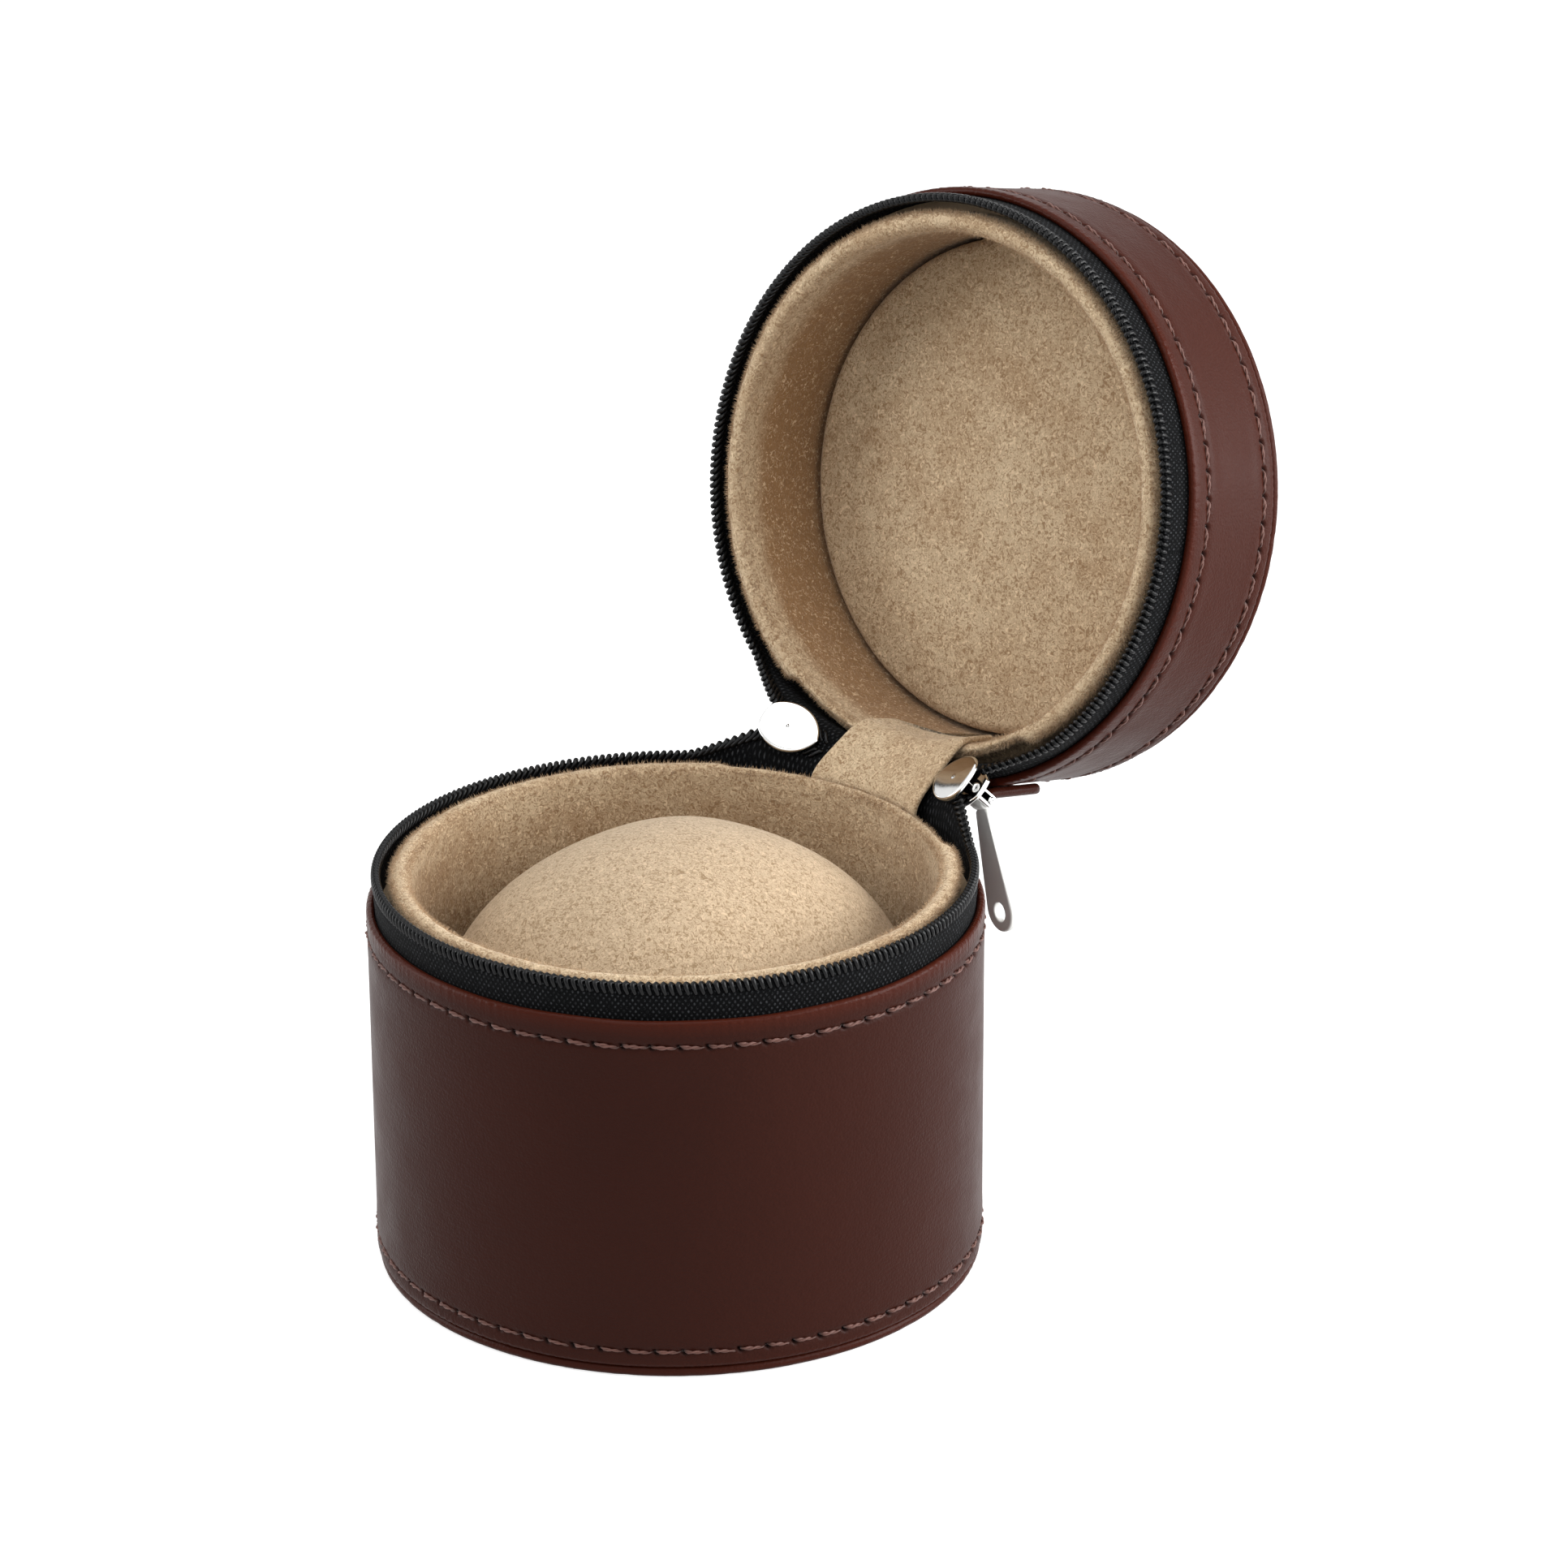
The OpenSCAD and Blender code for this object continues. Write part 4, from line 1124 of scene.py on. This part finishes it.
def leg(y, thick):
    """One leg of the bridge: a stadium outline with rounded edges, from the plate to the bar."""
    cols = 48
    turn = full_circle(cols)
    near, far, tall = OUTER_PLATE[0] + 0.35 * MM, BAR_R, 1.1 * MM
    centre = (near + far) / 2
    x = centre + np.sign(np.cos(turn)) * (far - near) / 2
    bead = 0.3 * MM
    arc = np.linspace(math.pi / 2, -math.pi / 2, 9)
    inset = np.concatenate([[tall * 0.5], bead * (1 - np.cos(arc)), [tall * 0.5]])[:, None]
    step = np.concatenate([[thick / 2], thick / 2 - bead + bead * np.sin(arc[:5]),
                           -thick / 2 + bead + bead * np.sin(arc[4:])[1:], [-thick / 2]])[:, None]
    rows = len(step)
    local = np.stack([x + (tall - inset) * np.cos(turn), y + step + 0 * turn,
                      (tall - inset) * np.sin(turn)], -1)
    return local.reshape(-1, 3), tube_faces(1, rows, cols)


def bridge():
    """Two legs and the bar between them, whose ends are domed."""
    gap, thick = 3.8 * MM, 1.0 * MM
    outer = gap / 2 + thick
    shells = [leg(side * (gap / 2 + thick / 2), thick) for side in (-1, 1)]
    shells.append(bar_between((BAR_R, -outer - 0.1 * MM, 0), (BAR_R, outer + 0.1 * MM, 0),
                              0.7 * MM, 0.7 * MM))
    return joined(*shells)


PULL_L, PULL_W, PULL_T, PULL_HOLE = 22 * MM, 7.6 * MM, 1.3 * MM, 3.2 * MM
EYE_OUT, EYE_IN, EYE_L = 1.46 * MM, 0.76 * MM, 3.2 * MM


def pull():
    """The hanging pull: a teardrop blade with rounded edges and a round hole, and its eye. The
    blade's columns are rays from the hole; its rows run from the hole over one face, round the
    edge, over the other face and through the hole again."""
    cols = 128
    round_r = PULL_W / 2
    tip = -PULL_L + round_r
    hole_z = tip - 0.4 * MM
    angle = full_circle(cols)
    way = np.stack([np.cos(angle), np.sin(angle)], -1)
    reach = far_side(way, (0, tip - hole_z), round_r)
    neck = EYE_L / 2
    top = -EYE_IN - 0.2 * MM - hole_z
    tangent = math.asin((round_r - neck) / (top - (tip - hole_z)))
    normal = np.stack([np.full(cols, math.cos(tangent)), np.full(cols, math.sin(tangent))], -1)
    sided = normal * np.stack([np.sign(way[:, 0] + 1e-9), np.ones(cols)], -1)
    edge_line = (round_r + (tip - hole_z) * math.sin(tangent)) / np.maximum((sided * way).sum(-1), 1e-3)
    flank = way[:, 1] > math.sin(tangent) * 0.9
    reach = np.where(flank, edge_line, reach)
    reach = np.where(way[:, 1] > 0.2, np.minimum(reach, top / np.maximum(way[:, 1], 1e-3)), reach)
    half, bead = PULL_T / 2, 0.42 * MM
    hole = PULL_HOLE / 2
    share = np.linspace(0, 1, 11)[:, None]
    arc = np.linspace(0, math.pi / 2, 6)[1:, None]
    lip = np.linspace(math.pi / 2, 0, 5)[:-1, None]
    soft = 0.25 * MM
    rise = np.concatenate([hole + soft * (1 - np.sin(lip)) + 0 * reach,
                           hole + soft + share * (reach - bead - hole - soft),
                           reach - bead + bead * np.sin(arc)])
    depth = np.concatenate([half - soft * (1 - np.cos(lip)), half + 0 * share,
                            half - bead * (1 - np.cos(arc))])
    rise = np.concatenate([rise, rise[::-1]])
    depth = np.concatenate([depth, -depth[::-1]])
    local = np.stack([depth + 0 * rise, rise * way[:, 0], hole_z + rise * way[:, 1]], -1)
    blade = (local.reshape(-1, 3), [grid_quads(*rise.shape, ring_rows=True, ring_cols=True)])
    eye_cols = 40
    turn = full_circle(eye_cols)
    tube_r = np.array([EYE_IN, EYE_IN, EYE_IN + 0.15 * MM, EYE_OUT - 0.2 * MM, EYE_OUT, EYE_OUT,
                       EYE_OUT - 0.2 * MM, EYE_IN + 0.15 * MM])[:, None]
    half_l = EYE_L / 2
    tube_y = np.array([half_l - 0.15 * MM, -half_l + 0.15 * MM, -half_l, -half_l, -half_l + 0.2 * MM,
                       half_l - 0.2 * MM, half_l, half_l])[:, None]
    eye = np.stack([tube_r * np.cos(turn), tube_y + 0 * turn, tube_r * np.sin(turn)], -1)
    eye_shell = (eye.reshape(-1, 3), [grid_quads(len(tube_r), eye_cols, ring_rows=True, ring_cols=True)])
    return joined(blade, eye_shell)


def hung(local, park):
    """A pull's points, hanging straight down from a parked slider's bar."""
    lean = math.atan2(math.cos(HALF_OPEN), math.sin(HALF_OPEN) * math.sin(park)) - math.pi / 2
    c, s = math.cos(lean), math.sin(lean)
    x, z = local[:, 0], local[:, 2]
    return at_slider(np.stack([BAR_R + x * c + z * s, local[:, 1], -x * s + z * c], -1), park)


# ---- cushion -----------------------------------------------------------------

def cushion_form(inset, rows=56, cols=120):
    """A dome on an oblong plan: a superellipse of power 2.4 that shrinks with the cosine of the
    angle up, and below its widest place draws in to the flat on which it rests. The angles up
    are in degrees."""
    low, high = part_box("cushion_cover")
    dome_height = 32.3 * MM
    lowest, highest = 62, 89
    waist = high.z - dome_height
    drop = (waist - low.z) / math.sin(math.radians(lowest))
    up = np.linspace(-lowest, highest, rows)[:, None] * math.pi / 180
    z = np.where(up > 0, waist + (high.z - waist - inset) * np.sin(up),
                 waist + np.maximum(np.sin(up) * drop, low.z - waist + inset))
    a = full_circle(cols)
    power = 2 / 2.4
    x = (high.x - inset) * np.cos(up) * squared_off(np.cos(a), power)
    y = (high.y - inset) * np.cos(up) * squared_off(np.sin(a), power)
    points = np.stack([x, y, z + 0 * a], -1).reshape(-1, 3)
    poles = np.array([[0, 0, low.z + inset], [0, 0, high.z - inset]])
    faces = [grid_quads(rows, cols, ring_cols=True), pole_fans(rows, cols, other_way=True)]
    return np.concatenate([points, poles]), faces


def filled_like_a_cushion(piece, voxel, pressure, cap):
    """Blows a piece up as a closed cloth bag, then lets no point move past the cap."""
    frames = 20
    bpy.context.view_layer.objects.active = piece
    shrink = piece.modifiers.new("Even faces", "REMESH")
    shrink.mode = "VOXEL"
    shrink.voxel_size = voxel
    bpy.ops.object.modifier_apply(modifier=shrink.name)
    start = points_of(piece)
    cloth = piece.modifiers.new("Cloth", "CLOTH")
    cloth.settings.use_pressure = True
    cloth.settings.uniform_pressure_force = pressure
    cloth.settings.effector_weights.gravity = 0
    cloth.point_cache.frame_end = frames
    for number in range(1, frames + 1):
        bpy.context.scene.frame_set(number)
    bpy.ops.object.modifier_apply(modifier=cloth.name)
    bpy.context.scene.frame_set(1)
    moved = points_of(piece) - start
    far = np.linalg.norm(moved, axis=1, keepdims=True)
    kept = start + moved * np.minimum(1, cap / np.maximum(far, 1e-9))
    piece.data.vertices.foreach_set("co", kept.astype(np.float32).ravel())
    piece.data.update()


# ---- operators ---------------------------------------------------------------

MATERIALS = {}


def material(name, make, *args):
    """A material by name, made the first time it is asked for."""
    if name not in MATERIALS:
        MATERIALS[name] = make(*args)
    return MATERIALS[name]


def wall_suede():
    return material("wall", suede_material, "wall_suede", colours().suede, colours().suede_deep_and_shade)


def plain_leather():
    return material("leather", leather_material, "smooth_leather", 1.0)


# Painted light: the lid's leather is the same leather painted 1.35 times lighter, because the lid is lit more
# than the base.
def lid_leather_painted_lighter():
    return material("lid leather painted lighter", leather_material, "smooth_leather_lid", 1.35)


class CASE_OT_stage(bpy.types.Operator):
    """Lays the table, hangs the soft lights and sets the camera"""
    bl_idname = "watch_case.stage"
    bl_label = "Stage"

    def execute(self, context):
        floor_and_backdrop()
        lights()
        camera()
        return {"FINISHED"}


class CASE_OT_leather(bpy.types.Operator):
    """Makes the leather walls and the two round ends"""
    bl_idname = "watch_case.leather"
    bl_label = "Leather shell"

    def execute(self, context):
        lid_low = lid_range("lid_leather_band")[0]
        lid_end = lid_range("lid_top_panel")[0]
        for body, side, low, end, lift, hide, seed in (
                ("base", "bottom", BAND_LOW.z, 0.0, np.asarray, plain_leather, 11),
                ("lid", "top", lid_low, lid_end, to_lid, lid_leather_painted_lighter, 21)):
            rows = (RIM_Z - STITCH_BELOW_RIM, end + STITCH_ABOVE_END)
            points, faces, shading = leather_wall(low, RIM_Z, rows, seed)
            wall = make_piece(f"{body}_leather", lift(points), [faces], attributes=shading)
            dress(wall, hide(), body, [f"{body}_leather_band"])
            points, faces, shading = end_panel(end, seed + 1)
            panel = make_piece(f"{body}_{side}", lift(points), faces, attributes=shading)
            dress(panel, hide(), body, [f"{body}_{side}_panel"])
        return {"FINISHED"}


class CASE_OT_stitches(bpy.types.Operator):
    """Sews the four rows of stitches"""
    bl_idname = "watch_case.stitches"
    bl_label = "Stitches"

    def execute(self, context):
        end = lid_range("lid_top_panel")[0]
        upper, lower = RIM_Z - STITCH_BELOW_RIM, STITCH_ABOVE_END
        rows = [("base_stitches_upper", upper, "base", "base_stitch_top"),
                ("base_stitches_lower", lower, "base", "base_stitch_bottom"),
                ("lid_stitches_edge", upper, "lid", "lid_stitch_rim"),
                ("lid_stitches_top", end + STITCH_ABOVE_END, "lid", "lid_stitch_top")]
        for number, (name, row, body, node) in enumerate(rows):
            points, faces, shading = stitch_points(row, 31 + number)
            if body == "lid":
                points = to_lid(points)
            piece = make_piece(name, points, faces, attributes=shading)
            dress(piece, material("thread", thread_material), body, [node])
        return {"FINISHED"}


class CASE_OT_padding(bpy.types.Operator):
    """Pads the walls, the floor and the lid with suede"""
    bl_idname = "watch_case.padding"
    bl_label = "Padded suede"

    def execute(self, context):
        # The fourth column scales the nap's painted shade. The lid's wall, which gets less light, is painted
        # much darker than the base's.
        for body, low, lift, lie, seed in (
                ("base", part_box("base_lining")[0].z, np.asarray, 0.22, 41),
                ("lid", lid_range("lid_lining")[0], to_lid, 0.85, 42)):
            points, faces, nap = padded_wall(low, seed)
            wall = make_piece(f"{body}_suede_wall", lift(points), [faces], attributes={"nap": nap * lie})
            dress(wall, wall_suede(), body, [f"{body}_lining"])
        floor_range = [corner.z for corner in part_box("base_floor_pad")]
        for name, node, body, z_range, lift, slack, crown, seed in (
                ("base_floor_cushion", "base_floor_pad", "base", floor_range, np.asarray,
                 0.05 * MM, 0.4 * MM, 43),
                ("lid_disc", "lid_inner_pad", "lid", lid_range("lid_inner_pad"), to_lid,
                 0.7 * MM, 0.7 * MM, 44)):
            points, faces = padded_disc(BORE_R - slack, *z_range, seed, crown)
            pad = make_piece(name, lift(points), faces)
            dress(pad, wall_suede(), body, [node])
        for name, body, lift, seed in (("base_rim_nap", "base", np.asarray, 45),
                                       ("lid_rim_nap", "lid", to_lid, 47)):
            points, faces = rim_hairs(seed)
            nap = make_piece(name, lift(points), faces, flat=True)
            dress(nap, material("hair", hair_material), body)
        return {"FINISHED"}


class CASE_OT_zip(bpy.types.Operator):
    """Winds the two rows of teeth and weaves their tapes"""
    bl_idname = "watch_case.zip"
    bl_label = "Zip"

    def execute(self, context):
        nylon = material("nylon", nylon_material)
        woven = material("tape", tape_material)
        for lid, body, turn, tape_turn in ((False, "base", BASE_COIL_TURN, BASE_TAPE_TURN),
                                           (True, "lid", LID_COIL_TURN, LID_TAPE_TURN)):
            points, faces = coil(PARK_LEFT, PARK_RIGHT + TURN, lid)
            row = make_piece(body + "_coil", points, faces)
            dress(row, nylon, None, [body + "_zip_teeth"])
            blend_along(row, turn)
            points, faces, uv = tape(lid)
            cloth = make_piece(body + "_tape", points, [faces], uv=uv)
            dress(cloth, woven, None, [body + "_zip_tape"])
            blend_along(cloth, tape_turn)
        low_x, high_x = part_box("hinge_suede_strap")[0].x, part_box("hinge_suede_strap")[1].x
        ends = ((PARK_RIGHT, math.acos((high_x + 0.5 * MM) / COIL_R)),
                (math.acos((low_x - 0.5 * MM) / COIL_R), PARK_LEFT))
        shells = [coil(low, high, lid, 0.5) for low, high in ends for lid in (False, True)]
        points, faces = joined(*shells)
        shut = make_piece("zip_end_coil", points, faces)
        dress(shut, nylon, "zip_end", ["zip_end_teeth"])
        return {"FINISHED"}


class CASE_OT_hinge(bpy.types.Operator):
    """Makes the leather tab outside and the suede strap inside"""
    bl_idname = "watch_case.hinge"
    bl_label = "Soft hinge"

    def execute(self, context):
        points, faces = leather_tab()
        zeros = np.zeros(len(points))
        tab = make_piece("hinge_tab", points, faces, attributes={"turned": zeros + 0.35, "hole": zeros})
        dress(tab, plain_leather(), None, ["hinge_leather_tab"])
        blend_along(tab, TAB_TURN)
        middle, (points, faces) = strap()
        band = make_piece("hinge_strap", points, faces)
        suede = material("strap", suede_material, "strap_suede", colours().suede,
                         colours().suede_deep_and_shade, 1500, 60)
        dress(band, suede, None, ["hinge_suede_strap"])
        blend_along(band, STRAP_TURN)
        return {"FINISHED"}


class CASE_OT_sliders(bpy.types.Operator):
    """Makes the two sliders, their bridges and their pulls"""
    bl_idname = "watch_case.sliders"
    bl_label = "Sliders and pulls"

    def execute(self, context):
        polished = material("polished", metal_material, "polished_metal", colours().metal, 0.07, 0.15)
        satin = material("satin", metal_material, "satin_metal", colours().satin, 0.42, 0.5, 0.2)
        web = bar_between((INNER_PLATE[1] - 0.55 * MM, 0, 0), (OUTER_PLATE[0] + 0.3 * MM, 0, 0),
                          2.6 * MM, 0.25 * MM)
        for side, park, tail in (("right", PARK_RIGHT, 1), ("left", PARK_LEFT, -1)):
            shells = joined(plate(*INNER_PLATE, SLIDER_L, SLIDER_W, 0.45 * MM, tail, -0.3 * MM),
                            plate(*OUTER_PLATE, SLIDER_L, OUTER_W, -0.45 * MM, tail), web)
            body = make_piece(f"slider_{side}", at_slider(shells[0], park), shells[1])
            dress(body, polished, f"slider_{side}", [f"slider_{side}_body"])
            points, faces = bridge()
            piece = make_piece(f"bridge_{side}", at_slider(points, park), faces)
            dress(piece, polished, f"slider_{side}", [f"slider_{side}_bridge"])
            points, faces = pull()
            piece = make_piece(f"puller_{side}", hung(points, park), faces)
            dress(piece, satin, f"pull_{side}", [f"pull_{side}"])
        return {"FINISHED"}


class CASE_OT_cushion(bpy.types.Operator):
    """Fills the suede cushion that carries the watch"""
    bl_idname = "watch_case.cushion"
    bl_label = "Cushion"

    def execute(self, context):
        inset = sizes().cushion_swell * 0.7
        points, faces = cushion_form(inset)
        cushion = make_piece("watch_cushion", points, faces)
        filled_like_a_cushion(cushion, 2.2 * MM, 4, sizes().cushion_swell)
        fine = material("cushion", suede_material, "cushion_suede", colours().cushion,
                        colours().cushion_deep_and_shade, 1400, 26, 0.9, 0.35)
        dress(cushion, fine, "cushion", ["cushion_cover"])
        cushion.data.polygons.foreach_set("use_smooth", np.full(len(cushion.data.polygons), True))
        soften(cushion, 2)
        return {"FINISHED"}


class CASE_OT_inner_parts(bpy.types.Operator):
    """Finishes the tubes, boards and foam that the leather and the suede cover"""
    bl_idname = "watch_case.inner_parts"
    bl_label = "Inner parts"

    def execute(self, context):
        board = material("board", fibre_material, "pressed_board", (0.48, 0.36, 0.24, 1), 700)
        foam = material("foam", fibre_material, "foam", (0.8, 0.75, 0.62, 1), 1800)
        cloth = material("cloth", cloth_material)
        for name in ("base_tube_core", "base_bottom_board", "lid_tube_core", "lid_top_board"):
            dress(frame["nodes"][name], board)
        dress(frame["nodes"]["cushion_core"], foam)
        dress(frame["nodes"]["zip_end_gusset"], cloth)
        return {"FINISHED"}


# ---- stage -------------------------------------------------------------------

def seen_directly(tree):
    """1 for rays from the camera, from gloss and through glass, and 0 for all others."""
    ray = add(tree, "LightPath")
    seen = sums(tree, "MAXIMUM", out(ray, "Is Camera Ray"), out(ray, "Is Glossy Ray"))
    return sums(tree, "MAXIMUM", seen, out(ray, "Is Transmission Ray"))


def floor_and_backdrop():
    """A wide pale table. Seen by the camera, in metal and in gloss it is white, and it keeps the
    case's shadow."""
    reach, glow, room_light = 4.0, 0.72, 0.38
    corners = np.array([[-reach, -reach, 0], [reach, -reach, 0], [reach, reach, 0], [-reach, reach, 0]])
    floor = make_piece("table", corners - [0, 0, 0.02 * MM], [np.array([[0, 1, 2, 3]])])
    paint, tree, principled = new_material("white_table", Roughness=0.8)
    principled.inputs["Base Color"].default_value = tuple(colours().floor)
    principled.inputs["Emission Color"].default_value = (1, 1, 1, 1)
    tree.links.new(sums(tree, "MULTIPLY", seen_directly(tree), glow),
                   principled.inputs["Emission Strength"])
    floor.data.materials.append(paint)
    world = bpy.data.worlds.new("soft_room")
    bpy.context.scene.world = world
    world.use_nodes = True
    tree = world.node_tree
    whitened = sums(tree, "MULTIPLY", seen_directly(tree), 1 - room_light)
    strength = sums(tree, "ADD", whitened, room_light)
    background = tree.nodes["Background"]
    background.inputs["Color"].default_value = (1, 1, 1, 1)
    tree.links.new(strength, background.inputs["Strength"])


def lamp(name, place_at, aim, size_x, size_y, power):
    """A soft rectangular lamp that faces a point."""
    data = bpy.data.lights.new(name, "AREA")
    data.shape = "RECTANGLE"
    data.size, data.size_y, data.energy = size_x, size_y, power
    light = bpy.data.objects.new(name, data)
    bpy.context.scene.collection.objects.link(light)
    light.location = place_at
    light.rotation_euler = (Vector(aim) - Vector(place_at)).to_track_quat("-Z", "Y").to_euler()


def lights():
    """Three soft boxes beside the case, one above it and a weak one in front. Each row is a name,
    a place, a width, a height and a power in watts."""
    middle = (0, 0, 0.07)
    for name, place_at, wide, tall, power in (
            ("left_box", (-0.72, -0.58, 0.36), 0.5, 0.7, 4.4),
            ("right_box", (0.72, 0.58, 0.40), 0.6, 0.75, 11.5),
            ("near_right_box", (0.86, 0.0, 0.42), 0.4, 0.6, 2.6),
            ("top_box", (0.0, -0.15, 0.95), 0.8, 0.8, 3.8),
            ("front_box", (0.30, -0.95, 0.85), 0.5, 0.4, 1.0)):
        lamp(name, place_at, middle, wide, tall, power)


def swung(first, second, angle):
    """Two square directions turned in their plane, the first towards the second."""
    c, s = math.cos(angle), math.sin(angle)
    return first * c + second * s, second * c - first * s


def camera():
    """A long lens at the photograph's angle. Angles are in degrees and lengths in metres."""
    width_px = 1932
    focal_px = 7038.594
    target, distance = Vector((0, 0, 0.03)), 0.937753
    azimuth, elevation = math.radians(43.388), math.radians(24.835)
    tilt, pan, roll = math.radians(2.88), math.radians(1.103), math.radians(-0.816)
    back = Vector((math.sin(azimuth) * math.cos(elevation),
                   -math.cos(azimuth) * math.cos(elevation), math.sin(elevation)))
    ahead = -back
    right = ahead.cross(Vector((0, 0, 1))).normalized()
    up = right.cross(ahead)
    ahead, up = swung(ahead, up, tilt)
    ahead, right = swung(ahead, right, pan)
    right, up = swung(right, up, roll)
    data = bpy.data.cameras.new("camera")
    data.sensor_width = 36
    data.lens = focal_px / width_px * data.sensor_width
    data.clip_start, data.clip_end = 0.05, 20
    eye = bpy.data.objects.new("camera", data)
    bpy.context.scene.collection.objects.link(eye)
    eye.matrix_world = Matrix((right, up, -ahead)).transposed().to_4x4()
    eye.location = target + back * distance
    bpy.context.scene.camera = eye
    bpy.context.scene.view_settings.view_transform = "Standard"


# ---- panel and registration --------------------------------------------------

OPERATORS = (CASE_OT_stage, CASE_OT_inner_parts, CASE_OT_leather, CASE_OT_stitches, CASE_OT_padding,
             CASE_OT_zip, CASE_OT_hinge, CASE_OT_sliders, CASE_OT_cushion)


class CASE_PT_sidebar(bpy.types.Panel):
    """Lists the case's sizes, colours and pieces"""
    bl_idname = "CASE_PT_sidebar"
    bl_label = "Watch travel case"
    bl_space_type = "VIEW_3D"
    bl_region_type = "UI"
    bl_category = "Travel Case"

    def draw(self, context):
        for group in (context.scene.watch_case_sizes, context.scene.watch_case_colours):
            box = self.layout.box()
            for name in group.__annotations__:
                box.prop(group, name)
        for operator in OPERATORS:
            self.layout.operator(operator.bl_idname)


CLASSES = (CaseSizes, CaseColours, *OPERATORS, CASE_PT_sidebar)


def register():
    for made in CLASSES:
        bpy.utils.register_class(made)
    bpy.types.Scene.watch_case_sizes = PointerProperty(type=CaseSizes)
    bpy.types.Scene.watch_case_colours = PointerProperty(type=CaseColours)


def unregister():
    del bpy.types.Scene.watch_case_colours
    del bpy.types.Scene.watch_case_sizes
    for made in reversed(CLASSES):
        bpy.utils.unregister_class(made)


def main():
    register()
    for operator in OPERATORS:
        group, name = operator.bl_idname.split(".")
        getattr(getattr(bpy.ops, group), name)()


if __name__ == "__main__":
    main()
